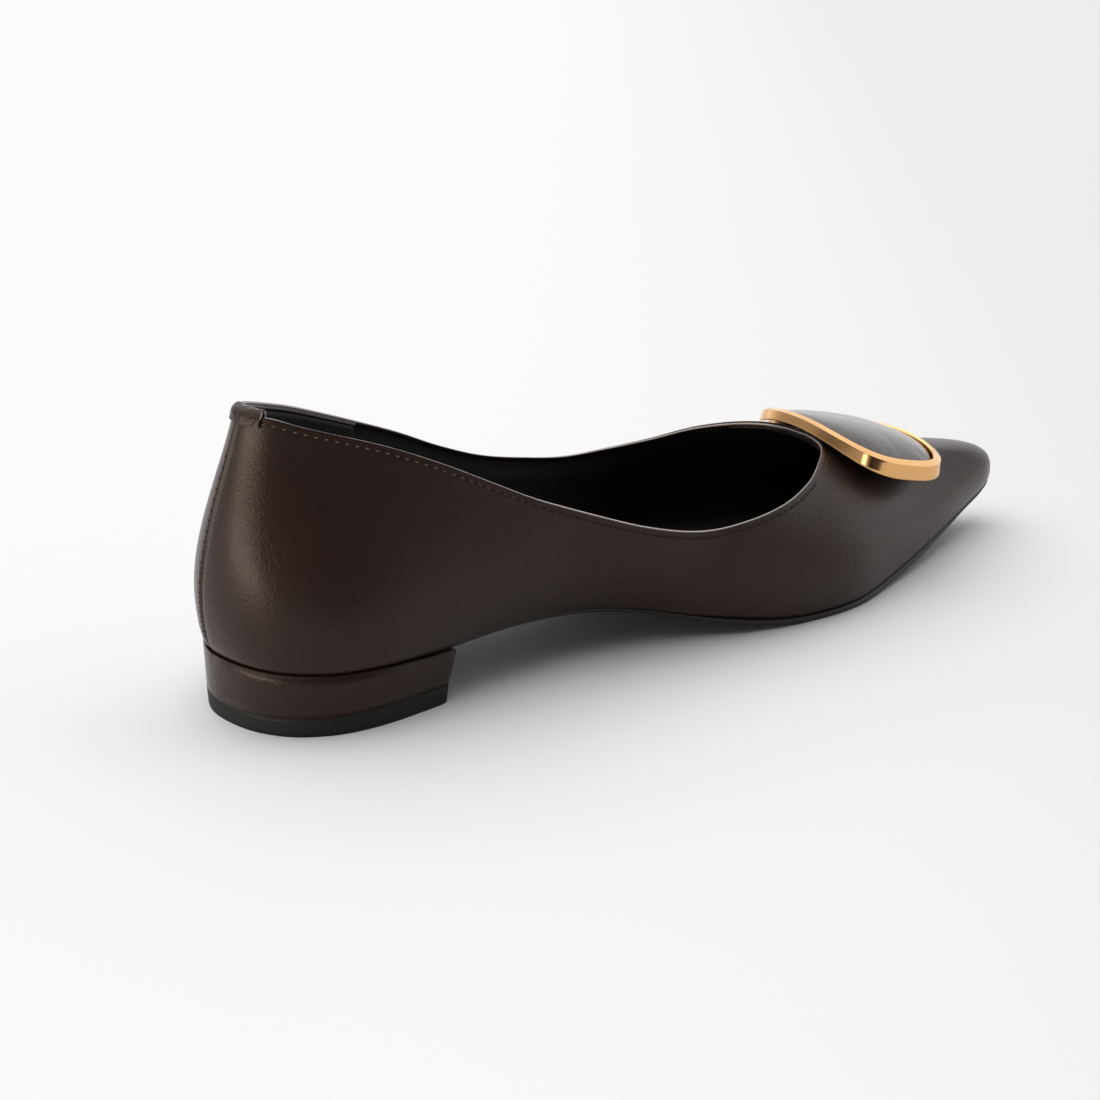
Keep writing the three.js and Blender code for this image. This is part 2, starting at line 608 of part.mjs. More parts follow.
function buckleFrame() {
  const section = [
    { inset: 0, height: 0 },
    { inset: RING_DRAFT, height: RING_HEIGHT - RING_BEVEL },
    { inset: RING_DRAFT + RING_BEVEL, height: RING_HEIGHT },
    { inset: RING_WALL - RING_BEVEL, height: RING_HEIGHT },
    { inset: RING_WALL, height: RING_HEIGHT - RING_BEVEL },
    { inset: RING_WALL, height: 0 },
  ];
  const columns = [];
  for (let i = 0; i < RING_STEPS; i += 1) {
    const angle = 2 * Math.PI * i / RING_STEPS;
    columns.push(section.map(({ inset, height }) => {
      const { x, y } = ringOutline(angle, inset);
      return ringPoint(x, y, height);
    }));
  }
  return closedGrid(columns);
}

// The padded panel: its underside lies along the vamp and its top is domed
function bucklePanel() {
  const points = [];
  const index = [];
  const edgeInset = RING_WALL + GAP;
  const ring = (share, isTop) => {
    const start = points.length;
    for (let i = 0; i < RING_STEPS; i += 1) {
      const { x, y } = ringOutline(2 * Math.PI * i / RING_STEPS, edgeInset, share);
      const dome = PANEL_EDGE + PANEL_DOME * (1 - share * share);
      const under = ringPoint(x, y, PANEL_BASE);
      const vamp = vampHeight(x, y);
      if (share < PANEL_SEAT) under.z = vamp + GAP;
      else under.z = Math.max(under.z, vamp + GAP);
      points.push(isTop ? ringPoint(x, y, dome) : under);
    }
    return start;
  };
  const join = (a, b) => {
    for (let i = 0; i < RING_STEPS; i += 1) {
      const next = (i + 1) % RING_STEPS;
      index.push(a + i, a + next, b + next, a + i, b + next, b + i);
    }
  };
  const shares = Array.from({ length: PANEL_RINGS }, (_, k) => 1 - k / PANEL_RINGS);
  const tops = shares.map((share) => ring(share, true));
  const bottoms = shares.map((share) => ring(share, false));
  const crown = points.push(ringPoint(ringX, RING_OFFSET, PANEL_EDGE + PANEL_DOME)) - 1;
  const base = points.push(vec(ringX, RING_OFFSET, vampHeight(ringX, RING_OFFSET) + GAP)) - 1;
  join(bottoms[0], tops[0]);
  for (let k = 0; k + 1 < PANEL_RINGS; k += 1) {
    join(tops[k], tops[k + 1]);
    join(bottoms[k + 1], bottoms[k]);
  }
  for (let i = 0; i < RING_STEPS; i += 1) {
    const next = (i + 1) % RING_STEPS;
    index.push(tops[PANEL_RINGS - 1] + i, tops[PANEL_RINGS - 1] + next, crown);
    index.push(bottoms[PANEL_RINGS - 1] + next, bottoms[PANEL_RINGS - 1] + i, base);
  }
  return solidOf(points, index);
}

// Materials
const brownLeather = new THREE.MeshStandardMaterial({ color: 0x3a2c27, roughness: 0.42, metalness: 0 });
const blackRubber = new THREE.MeshStandardMaterial({ color: 0x1c1d1c, roughness: 0.75, metalness: 0 });
const blackSole = new THREE.MeshStandardMaterial({ color: 0x15120f, roughness: 0.6, metalness: 0 });
const blackSock = new THREE.MeshStandardMaterial({ color: 0x0c0b0b, roughness: 0.7, metalness: 0 });
const paleGold = new THREE.MeshStandardMaterial({ color: 0xd9a866, roughness: 0.15, metalness: 1 });

const shoe = new THREE.Group();
function add(name, geometry, material) {
  const mesh = new THREE.Mesh(geometry, material);
  mesh.name = name;
  shoe.add(mesh);
}
add('upper', upper(), brownLeather);
add('outsole', outsole(), blackSole);
add('insole', insole(), blackSock);
add('heel_block', heelBlock(), brownLeather);
add('heel_top_lift', heelTopLift(), blackRubber);
add('heel_tab', heelTab(), brownLeather);
add('buckle_frame', buckleFrame(), paleGold);
add('buckle_panel', bucklePanel(), brownLeather);

export default shoe;
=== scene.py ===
# %% [markdown]
# Pointed flat with a ring buckle
#
# The object is a dressy flat shoe: one thin leather upper, pulled over a pointed last, a thin black
# sole, a low wrapped heel, and a gold ring round a padded leather panel on the vamp.
# The CAD model of the same shoe is loaded first. It gives every place and size. Each piece below is
# then a finer piece in the same place, or a small detail that sits on one.

import json
import math

import bpy
import numpy as np
from mathutils import Matrix, Vector
from mathutils.bvhtree import BVHTree

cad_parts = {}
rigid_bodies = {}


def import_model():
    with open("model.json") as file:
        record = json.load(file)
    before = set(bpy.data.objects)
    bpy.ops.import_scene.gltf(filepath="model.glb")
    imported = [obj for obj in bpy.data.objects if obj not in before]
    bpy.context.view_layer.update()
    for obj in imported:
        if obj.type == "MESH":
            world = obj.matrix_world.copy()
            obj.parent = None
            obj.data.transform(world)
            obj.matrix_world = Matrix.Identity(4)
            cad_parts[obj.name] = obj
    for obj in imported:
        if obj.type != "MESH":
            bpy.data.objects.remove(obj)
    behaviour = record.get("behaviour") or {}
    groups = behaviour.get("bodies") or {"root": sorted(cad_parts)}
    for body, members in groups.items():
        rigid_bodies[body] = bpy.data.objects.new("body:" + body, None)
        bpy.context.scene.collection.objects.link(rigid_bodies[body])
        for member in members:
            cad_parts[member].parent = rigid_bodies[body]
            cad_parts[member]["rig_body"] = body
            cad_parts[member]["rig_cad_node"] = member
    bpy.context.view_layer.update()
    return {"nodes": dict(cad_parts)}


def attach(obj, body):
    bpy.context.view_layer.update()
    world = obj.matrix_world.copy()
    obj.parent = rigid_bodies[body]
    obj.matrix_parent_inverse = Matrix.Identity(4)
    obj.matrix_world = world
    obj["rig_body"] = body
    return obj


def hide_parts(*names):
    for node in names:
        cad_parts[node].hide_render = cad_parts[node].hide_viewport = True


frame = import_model()
MM = 0.001
print("CAD pieces:", ", ".join(sorted(frame["nodes"])))

# %% [markdown]
# The camera
#
# The photograph was taken from behind and above the inner side, with a long lens, so the shoe hardly
# tapers with distance. A long lens far away gives the same flat look. The place was worked out from
# the outline: the angle round the shoe, the angle above the floor and the distance.

# %% Place the camera
VIEW_ROUND = math.radians(-33.2)
VIEW_ABOVE = math.radians(21.1)
VIEW_DISTANCE = 639 * MM
VIEW_TARGET = Vector((71.0, 0.0, 21.7)) * MM
SENSOR_WIDTH = 36.0
FOCAL_PIXELS = 2472.0
PHOTO_PIXELS = 1100.0
FAR_CLIP = 50.0

camera_turn = (math.pi / 2 - VIEW_ABOVE, 0.0, VIEW_ROUND)
turn_round = Matrix.Rotation(VIEW_ROUND, 3, "Z")
tip_down = Matrix.Rotation(camera_turn[0], 3, "X")
look_along = turn_round @ tip_down @ Vector((0, 0, -1))
bpy.ops.object.camera_add(location=VIEW_TARGET - look_along * VIEW_DISTANCE, rotation=camera_turn)
camera = bpy.context.object
camera.name = "photo_camera"
camera.data.sensor_width = SENSOR_WIDTH
camera.data.lens = SENSOR_WIDTH * FOCAL_PIXELS / PHOTO_PIXELS
camera.data.clip_end = FAR_CLIP
bpy.context.scene.camera = camera
bpy.context.scene.view_settings.view_transform = "Standard"
print("camera at", [round(c, 3) for c in camera.location], "lens", round(camera.data.lens, 1))

# %% [markdown]
# A smooth copy of a CAD piece
#
# A CAD node arrives as loose flat triangles. A maker's piece is smooth, so each soft piece starts as
# a copy whose corners are merged and whose triangles are paired into quads again. Quads matter,
# because edge loops run along them and a subdivision surface stays even on them. Subdivision draws a
# shape in, so the corners are first pushed out by what they would lose. The other way would be to
# model the whole shell again, but then it would drift from the CAD solid.

# %% Helpers for copies
SAME_POINT = 0.001 * MM
SMOOTH_LEVELS = 2
SMALL_PIECE_LEVELS = 3


def pick_only(piece):
    for other in bpy.context.selected_objects:
        other.select_set(False)
    piece.select_set(True)
    bpy.context.view_layer.objects.active = piece


def start_edit(piece, elements):
    pick_only(piece)
    bpy.ops.object.mode_set(mode="EDIT")
    kinds = ("corners", "edges", "faces")
    bpy.context.tool_settings.mesh_select_mode = [kind == elements for kind in kinds]
    bpy.ops.mesh.select_all(action="DESELECT")


def merged_copy(node_name, piece_name):
    source = frame["nodes"][node_name]
    piece = bpy.data.objects.new(piece_name, source.data.copy())
    bpy.context.scene.collection.objects.link(piece)
    piece.data.materials.clear()
    pick_only(piece)
    bpy.ops.mesh.customdata_custom_splitnormals_clear()
    bpy.ops.object.mode_set(mode="EDIT")
    bpy.ops.mesh.select_all(action="SELECT")
    bpy.ops.mesh.remove_doubles(threshold=SAME_POINT)
    bpy.ops.mesh.tris_convert_to_quads(
        face_threshold=math.pi, shape_threshold=math.pi, topology_influence=1.0
    )
    bpy.ops.mesh.select_all(action="DESELECT")
    bpy.ops.object.mode_set(mode="OBJECT")
    bpy.ops.object.shade_smooth()
    print(piece_name, "starts with", len(piece.data.polygons), "faces")
    return piece


def corner_values(mesh, what="co"):
    flat = np.zeros(len(mesh.vertices) * 3)
    mesh.vertices.foreach_get(what, flat)
    return flat.reshape(-1, 3)


def move_corners(piece, places):
    piece.data.vertices.foreach_set("co", places.ravel())
    piece.data.update()


def smooth_by_subdivision(piece, levels, corrections=2):
    pick_only(piece)
    smoother = piece.modifiers.new("smooth", "SUBSURF")
    smoother.levels = levels
    smoother.render_levels = levels
    wanted = corner_values(piece.data)
    for _ in range(corrections):
        bpy.context.view_layer.update()
        smoothed = piece.evaluated_get(bpy.context.evaluated_depsgraph_get()).data
        missing = wanted - corner_values(smoothed)[: len(wanted)]
        move_corners(piece, corner_values(piece.data) + missing)
    bpy.ops.object.modifier_apply(modifier=smoother.name)
    print(piece.name, "now has", len(piece.data.polygons), "faces")


def keep_off_floor(piece):
    places = corner_values(piece.data)
    print(piece.name, "has", int((places[:, 2] < 0).sum()), "corners to lift to the floor")
    places[:, 2] = np.maximum(places[:, 2], 0.0)
    move_corners(piece, places)


def crease_sharp_edges(piece, degrees, crease):
    start_edit(piece, "edges")
    bpy.ops.mesh.edges_select_sharp(sharpness=math.radians(degrees))
    bpy.ops.transform.edge_crease(value=crease)
    bpy.ops.mesh.select_all(action="DESELECT")
    bpy.ops.object.mode_set(mode="OBJECT")


print("helpers for copies are ready")

# %% [markdown]
# How a material is built
#
# Every finish is a node tree on the Principled shader. One helper adds a node, sets what is given and
# links what is a socket. Colours are written as sRGB hex, as a colour picker shows them, and one
# function turns them to the linear values that the shader needs.

# %% Helpers for materials
def tone(hex_colour):
    parts = [int(hex_colour[i : i + 2], 16) / 255 for i in (1, 3, 5)]
    linear = [p / 12.92 if p <= 0.04045 else ((p + 0.055) / 1.055) ** 2.4 for p in parts]
    return (*linear, 1.0)


def add_node(tree, kind, inputs=None, **settings):
    new = tree.nodes.new("ShaderNode" + kind)
    for name, value in settings.items():
        setattr(new, name, value)
    for name, value in (inputs or {}).items():
        if isinstance(value, bpy.types.NodeSocket):
            tree.links.new(value, new.inputs[name])
        else:
            new.inputs[name].default_value = value
    return new


def new_finish(name):
    finish = bpy.data.materials.new(name)
    finish.use_nodes = True
    tree = finish.node_tree
    tree.nodes.clear()
    place = add_node(tree, "TexCoord").outputs["Object"]
    return finish, tree, place


def close_finish(tree, shader):
    add_node(tree, "OutputMaterial", {"Surface": shader.outputs["BSDF"]})


print("helpers for materials are ready")

# %% [markdown]
# The upper's leather
#
# The upper is smooth box calf, dyed through and finished with a thin clear film. The eye sees a dark
# brown with slow changes of tone, a soft sheen, and a grain so fine that it only breaks up the
# highlight. On the heel's inner side the skin was pulled over the stiffener, which leaves a few fine
# creases. Grain and creases are bump, the film is a weak coat, and the stitch channel follows the
# topline by a map that is made further down.

# %% Box calf
# The real grain is near 0.2 mm, too fine to show, so it is drawn as coarse as it needs to show.
GRAIN_SIZE = 0.7 * MM
PORE_SIZE = 1.3 * MM
CREASE_SIZE = 2.6 * MM
TONE_SIZE = 28 * MM
LEATHER_IOR = 1.25
SHEEN_TINT = "#ffe9da"
WRINKLES_AT = (-19.3 * MM, -15.2 * MM, 44.5 * MM)
WRINKLES_CORE = 2 * MM
WRINKLES_REACH = 12 * MM
WRINKLE_SIZE = 1.6 * MM
WRINKLES_STRENGTH = 0.8
STITCH_LINE = 1.9 * MM
CHANNEL_WIDTH = 0.45 * MM
EDGE_MAP = "topline"


def wrinkles(tree, place, over):
    away_from = add_node(tree, "VectorMath", {0: place, 1: WRINKLES_AT}, operation="DISTANCE")
    fading = {"Value": away_from.outputs["Value"], "From Min": WRINKLES_CORE, "From Max": WRINKLES_REACH,
              "To Min": WRINKLES_STRENGTH, "To Max": 0.0}
    strength = add_node(tree, "MapRange", fading, interpolation_type="SMOOTHSTEP").outputs["Result"]
    folds = add_node(tree, "TexNoise", {"Vector": place, "Scale": 1 / WRINKLE_SIZE, "Detail": 3.0,
                                        "Distortion": 1.2})
    return add_node(tree, "Bump", {"Height": folds.outputs["Fac"], "Strength": strength,
                                   "Distance": 0.35 * MM, "Normal": over}).outputs["Normal"]


def stitch_channel(tree):
    along = add_node(tree, "UVMap", uv_map=EDGE_MAP).outputs["UV"]
    below = add_node(tree, "SeparateXYZ", {"Vector": along}).outputs["Y"]
    off_line = add_node(tree, "Math", {0: below, 1: STITCH_LINE}, operation="SUBTRACT")
    distance = add_node(tree, "Math", {0: off_line.outputs[0]}, operation="ABSOLUTE")
    rising = {"Value": distance.outputs[0], "From Min": 0.0, "From Max": CHANNEL_WIDTH}
    return add_node(tree, "MapRange", rising, interpolation_type="SMOOTHSTEP").outputs["Result"]


def box_calf(name, mid, dark, follows_topline, film=0.6, film_ior=1.25, film_blur=0.3):
    finish, tree, place = new_finish(name)
    slow = add_node(tree, "TexNoise", {"Vector": place, "Scale": 1 / TONE_SIZE, "Detail": 3.0})
    spots = add_node(tree, "TexNoise", {"Vector": place, "Scale": 1 / PORE_SIZE, "Detail": 2.0})
    tones = add_node(tree, "Mix", {"Factor": slow.outputs["Fac"], "A": tone(mid), "B": tone(dark)},
                     data_type="RGBA")
    mottle = add_node(tree, "MapRange", {"Value": spots.outputs["Fac"], "To Min": 0.93, "To Max": 1.07})
    shaded = {0: tones.outputs["Result"], "Scale": mottle.outputs["Result"]}
    colour = add_node(tree, "VectorMath", shaded, operation="SCALE").outputs["Vector"]

    grain = add_node(tree, "TexVoronoi", {"Vector": place, "Scale": 1 / GRAIN_SIZE}, feature="F1")
    soft = add_node(tree, "TexNoise", {"Vector": place, "Scale": 1 / CREASE_SIZE, "Detail": 4.0})
    surface = add_node(tree, "Bump", {"Height": grain.outputs["Distance"], "Strength": 0.7,
                                      "Distance": 0.14 * MM}).outputs["Normal"]
    surface = add_node(tree, "Bump", {"Height": soft.outputs["Fac"], "Strength": 0.12,
                                      "Distance": 0.25 * MM, "Normal": surface}).outputs["Normal"]
    surface = wrinkles(tree, place, surface)
    if follows_topline:
        channel = stitch_channel(tree)
        surface = add_node(tree, "Bump", {"Height": channel, "Strength": 0.35, "Distance": 0.2 * MM,
                                          "Normal": surface}).outputs["Normal"]
        # The groove is also painted up to a fifth darker: painted shade in the stitch channel.
        channel_shade = add_node(tree, "MapRange", {"Value": channel, "To Min": 0.8, "To Max": 1.0})
        colour = add_node(tree, "VectorMath", {0: colour, "Scale": channel_shade.outputs["Result"]},
                          operation="SCALE").outputs["Vector"]
    gloss = add_node(tree, "MapRange", {"Value": spots.outputs["Fac"], "To Min": 0.34, "To Max": 0.44})
    shader = add_node(tree, "BsdfPrincipled",
                      {"Base Color": colour, "Roughness": gloss.outputs["Result"], "IOR": LEATHER_IOR,
                       "Specular Tint": tone(SHEEN_TINT), "Coat Weight": film, "Coat IOR": film_ior,
                       "Coat Roughness": film_blur, "Normal": surface})
    close_finish(tree, shader)
    return finish


LEATHER_MID = "#2a1d19"
LEATHER_DARK = "#221713"
upper_calf = box_calf("box_calf_dark_brown", LEATHER_MID, LEATHER_DARK, True)
trim_calf = box_calf("box_calf_trim", LEATHER_MID, LEATHER_DARK, False)
panel_calf = box_calf("box_calf_polished_panel", LEATHER_MID, LEATHER_DARK, False, film=1.0,
                      film_ior=1.5, film_blur=0.12)
print("leather grain of", GRAIN_SIZE / MM, "mm")

# %% [markdown]
# The edges
#
# Along the topline the folded edge gets a light tone, a painted highlight of the light on the fold's
# round. The tab's raw edge has the same finish, and there the light tone is the cut edge's own. The
# eye sees a light, slightly shiny line there. The lining was only cut, so its edge is darker and
# matt. Each is two tones mixed by a noise, because one plain tone would look like paint.

# %% Raw edge and painted highlight
# On the topline this light tone is a painted highlight. On the tab's cut edge it is the edge's own
# colour.
raw_edge_and_highlight_calf, tree, place = new_finish("calf_raw_edge_and_painted_highlight")
edge_mottle = add_node(tree, "TexNoise", {"Vector": place, "Scale": 1 / CREASE_SIZE, "Detail": 2.0})
edge_tone = add_node(tree, "Mix", {"Factor": edge_mottle.outputs["Fac"], "A": tone("#b9afa7"),
                                   "B": tone("#978b83")}, data_type="RGBA")
shader = add_node(tree, "BsdfPrincipled", {"Base Color": edge_tone.outputs["Result"],
                                           "Roughness": 0.38, "Coat Weight": 0.5,
                                           "Coat Roughness": 0.3})
close_finish(tree, shader)
print("edge:", raw_edge_and_highlight_calf.name)

# %% Cut edge of the lining
grip_edge, tree, place = new_finish("lining_cut_edge")
cut = add_node(tree, "TexNoise", {"Vector": place, "Scale": 1 / PORE_SIZE, "Detail": 3.0})
cut_tone = add_node(tree, "Mix", {"Factor": cut.outputs["Fac"], "A": tone("#564d48"),
                                  "B": tone("#3a332f")}, data_type="RGBA")
shader = add_node(tree, "BsdfPrincipled", {"Base Color": cut_tone.outputs["Result"], "Roughness": 0.8})
close_finish(tree, shader)
print("cut lining edge:", grip_edge.name)

# %% [markdown]
# The black lining
#
# Inside, the shoe is lined with thin black sheep leather. It is nearly matt and swallows the light,
# so that the inside looks like a dark hollow. A small change of tone and a faint grain are all that
# shows.

# %% Lining leather
LINING_GRAIN = 0.8 * MM
lining_leather, tree, place = new_finish("lining_leather_black")
fine = add_node(tree, "TexNoise", {"Vector": place, "Scale": 1 / LINING_GRAIN, "Detail": 3.0})
lining_tone = add_node(tree, "Mix", {"Factor": fine.outputs["Fac"], "A": tone("#181716"),
                                     "B": tone("#242120")}, data_type="RGBA")
lining_bump = add_node(tree, "Bump", {"Height": fine.outputs["Fac"], "Strength": 0.15,
                                      "Distance": 0.1 * MM})
shader = add_node(tree, "BsdfPrincipled",
                  {"Base Color": lining_tone.outputs["Result"], "Roughness": 0.62, "IOR": 1.45,
                   "Specular IOR Level": 0.3, "Normal": lining_bump.outputs["Normal"]})
close_finish(tree, shader)
print("lining:", lining_leather.name)

# %% [markdown]
# The upper
#
# The real upper is cut flat, closed at the back seam and pulled over the last. Its outline is what
# the eye reads first, so the copy of the CAD shell is kept and only made smooth. The outer leather
# and the lining meet along the topline, where the leather is folded over. That fold is one closed
# edge loop, so it can be picked as by hand: choose one edge of it, then select its loop.

# %% Copy the shell and find its topline
upper = merged_copy("upper", "upper_shell")
SIDE_MIDDLE_Z = 20 * MM
FIRST_MIDDLE_X = 10 * MM
LAST_MIDDLE_X = 150 * MM


def topline_edge(mesh):
    top = max(mesh.vertices, key=lambda v: v.co.z).index
    touching = [e for e in mesh.edges if top in e.vertices]

    def side_span(edge):
        first, last = (mesh.vertices[i].co for i in edge.vertices)
        return abs((first - last).y)

    return max(touching, key=side_span).index


def select_loop(piece, edge_index):
    start_edit(piece, "edges")
    bpy.ops.object.mode_set(mode="OBJECT")
    piece.data.edges[edge_index].select = True
    bpy.ops.object.mode_set(mode="EDIT")
    bpy.ops.mesh.loop_multi_select(ring=False)
    bpy.ops.object.mode_set(mode="OBJECT")
    return [e.index for e in piece.data.edges if e.select]


fold_edges = select_loop(upper, topline_edge(upper.data))
fold_points = {v for e in fold_edges for v in upper.data.edges[e].vertices}
fold_group = upper.vertex_groups.new(name="fold")
fold_group.add(sorted(fold_points), 1.0, "REPLACE")
print("the topline loop has", len(fold_edges), "edges")


# %% Give the outside its leather and the inside its lining
def faces_out(face):
    middle_x = min(max(face.center.x, FIRST_MIDDLE_X), LAST_MIDDLE_X)
    middle = Vector((middle_x, 0.0, SIDE_MIDDLE_Z))
    return face.normal.dot(face.center - middle) > 0


upper.data.materials.append(upper_calf)
upper.data.materials.append(lining_leather)
upper.data.materials.append(raw_edge_and_highlight_calf)
for face in upper.data.polygons:
    on_fold = any(v in fold_points for v in face.vertices)
    face.material_index = 0 if on_fold or faces_out(face) else 1
leather_faces = sum(1 for f in upper.data.polygons if f.material_index == 0)
print(leather_faces, "faces of leather,", len(upper.data.polygons) - leather_faces, "of lining")

# %% Smooth the shell
smooth_by_subdivision(upper, SMOOTH_LEVELS)

# %% [markdown]
# A map that follows the topline
#
# Stitches, the stitch channel and the folded edge all run beside the topline. So every corner of the
# shell gets two numbers: how far along the topline its nearest point is, and how far it is from it.
# They are kept as a UV map, in metres, which the leather reads and the stitches use.

# %% Order the topline's points
FULL_WEIGHT = 0.999


def ordered_fold(piece):
    mesh = piece.data
    group = piece.vertex_groups["fold"].index
    on_fold = {v.index for v in mesh.vertices for g in v.groups
               if g.group == group and g.weight > FULL_WEIGHT}
    beside = {i: [] for i in on_fold}
    for edge in mesh.edges:
        a, b = edge.vertices
        if a in on_fold and b in on_fold:
            beside[a].append(b)
            beside[b].append(a)
    start = min(on_fold, key=lambda i: (mesh.vertices[i].co.x > 0, abs(mesh.vertices[i].co.y)))
    first = min(beside[start], key=lambda i: mesh.vertices[i].co.y)
    chain = [start, first]
    while True:
        following = [i for i in beside[chain[-1]] if i != chain[-2]]
        if not following or following[0] == start:
            break
        chain.append(following[0])
    return np.array([mesh.vertices[i].co for i in chain])


topline = ordered_fold(upper)
topline_closed = np.vstack([topline, topline[:1]])
steps = np.linalg.norm(np.diff(topline_closed, axis=0), axis=1)
reach = np.concatenate([[0.0], np.cumsum(steps)])
topline_length = reach[-1]
print("the topline is", round(topline_length / MM), "mm long, in", len(topline), "points")


# %% Write the map on the shell
BLOCK = 2000


def near_topline(points):
    starts = topline_closed[:-1]
    spans = topline_closed[1:] - starts
    squares = (spans**2).sum(axis=1)
    along = np.zeros(len(points))
    away = np.zeros(len(points))
    for first in range(0, len(points), BLOCK):
        block = points[first : first + BLOCK]
        offset = block[:, None, :] - starts[None]
        share = np.clip((offset * spans[None]).sum(axis=2) / squares, 0, 1)
        gaps = np.linalg.norm(offset - share[..., None] * spans[None], axis=2)
        best = gaps.argmin(axis=1)
        rows = np.arange(len(block))
        along[first : first + BLOCK] = reach[best] + share[rows, best] * steps[best]
        away[first : first + BLOCK] = gaps[rows, best]
    return along, away


mesh = upper.data
corners = corner_values(mesh)
along, away = near_topline(corners)
topline_map = mesh.uv_layers.new(name=EDGE_MAP)
half = topline_length / 2
for face in mesh.polygons:
    behind = face.center.x < 0
    near_side = face.center.y < 0
    for loop in face.loop_indices:
        vertex = mesh.loops[loop].vertex_index
        run = along[vertex]
        if behind and near_side and run > half:
            run -= topline_length
        if behind and not near_side and run < half:
            run += topline_length
        topline_map.data[loop].uv = (run, away[vertex])
print("map written for", len(mesh.polygons), "faces")

# %% Skive the wall along the topline
SKIVE_DEPTH = 0.85 * MM
SKIVE_FADE = 7.0 * MM
HALF_WALL = 0.95 * MM
RIM_WIDTH = 1.3 * HALF_WALL
PAINTED_HIGHLIGHT_LINE = 0.5 * MM
COLLAR_MIDDLE = np.array([60.0, 0.0, 0.0]) * MM


def smooth_share(value, start, end):
    share = np.clip((value - start) / (end - start), 0, 1)
    return share * share * (3 - 2 * share)


def toward_inside(points, runs):
    places = np.interp(runs, reach, np.arange(len(reach)))
    index = np.minimum(places.astype(int), len(steps) - 1)
    share = (places - index)[:, None]
    nearest = topline_closed[index] * (1 - share) + topline_closed[index + 1] * share
    tangent = (topline_closed[index + 1] - topline_closed[index]) / steps[index][:, None]
    inward = np.stack([-tangent[:, 1], tangent[:, 0], np.zeros(len(index))], axis=1)
    inward /= np.linalg.norm(inward, axis=1, keepdims=True)
    across = ((COLLAR_MIDDLE - nearest) * inward).sum(axis=1, keepdims=True)
    inward *= np.sign(across)
    return inward, ((points - nearest) * inward).sum(axis=1)


inward, inside_by = toward_inside(corners, along)
normals = corner_values(mesh, "normal")
lining_corners = np.zeros(len(mesh.vertices), dtype=bool)
for face in mesh.polygons:
    if face.material_index == 1:
        lining_corners[list(face.vertices)] = True
on_rim = ~lining_corners & (inside_by > 0) & (away < RIM_WIDTH)
fading = SKIVE_DEPTH * (1 - smooth_share(away, HALF_WALL, SKIVE_FADE))
corners[lining_corners] -= normals[lining_corners] * fading[lining_corners][:, None]
rim_shift = SKIVE_DEPTH * np.clip(away / HALF_WALL, 0, 1)
corners[on_rim] -= inward[on_rim] * rim_shift[on_rim][:, None]
move_corners(upper, corners)
# Faces this close to the fold take the light edge finish, a painted highlight along the topline.
painted_highlight_faces = 0
for face in mesh.polygons:
    if max(away[v] for v in face.vertices) < PAINTED_HIGHLIGHT_LINE:
        face.material_index = 2
        painted_highlight_faces += 1
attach(upper, "root")
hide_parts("upper")
print(painted_highlight_faces, "faces of painted highlight edge; wall thinned by", SKIVE_DEPTH / MM, "mm")

# %% [markdown]
# The topline stitching
#
# One row of thread runs round the topline, about 1.9 mm below the fold, with 2.5 mm to a stitch. Each
# stitch sinks in at both ends and stands a little proud in between. One stitch is made from a short
# six-sided rod with pinched ends. Its copies are laid along the surface, where the point and the
# slope come from the shell itself. A shallow hole, its near-black tone painted shadow, is laid
# between each two stitches. Near the heel the thread is painted a lighter brown, a painted highlight
# of the glints it catches there.

# %% Thread
# One of the thread's three plies is about a third of its width.
PLY = 0.12 * MM
HEEL_GLINT_UP_TO_X = 20 * MM
HEEL_GLINT_GONE_FROM_X = 60 * MM
thread_finish, tree, place = new_finish("waxed_thread_dark_brown")
twist = add_node(tree, "TexNoise", {"Vector": place, "Scale": 1 / PLY, "Detail": 1.0})
twist_bump = add_node(tree, "Bump", {"Height": twist.outputs["Fac"], "Strength": 0.3,
                                     "Distance": 0.05 * MM})
# Near the heel the thread is painted lighter, a painted highlight that fades to the thread's own dark
# tone further forward.
forward = add_node(tree, "SeparateXYZ", {"Vector": place}).outputs["X"]
waxed = add_node(tree, "MapRange", {"Value": forward, "From Min": HEEL_GLINT_UP_TO_X,
                                    "From Max": HEEL_GLINT_GONE_FROM_X})
thread_tone = add_node(tree, "Mix", {"Factor": waxed.outputs["Result"], "A": tone("#624c3d"),
                                     "B": tone("#150e0b")}, data_type="RGBA")
shader = add_node(tree, "BsdfPrincipled",
                  {"Base Color": thread_tone.outputs["Result"], "Roughness": 0.6,
                   "Specular IOR Level": 0.3, "Normal": twist_bump.outputs["Normal"]})
close_finish(tree, shader)
print("thread:", thread_finish.name)

# %% Needle holes
hole_finish, tree, place = new_finish("needle_hole_shadow")
shader = add_node(tree, "BsdfPrincipled", {"Base Color": tone("#0a0706"), "Roughness": 0.9})
close_finish(tree, shader)
print("needle holes:", hole_finish.name)

# %% One stitch
STITCH_PITCH = 2.5 * MM
STITCH_LENGTH = 1.2 * MM
THREAD = 0.38 * MM
STITCH_SIDES = 6
STITCH_RINGS = 6
END_DIP = 0.22 * MM
END_FROM = 0.3 * STITCH_LENGTH


def select_corners(piece, chosen):
    start_edit(piece, "corners")
    bpy.ops.object.mode_set(mode="OBJECT")
    for vertex in piece.data.vertices:
        vertex.select = chosen(vertex.co)
    bpy.ops.object.mode_set(mode="EDIT")


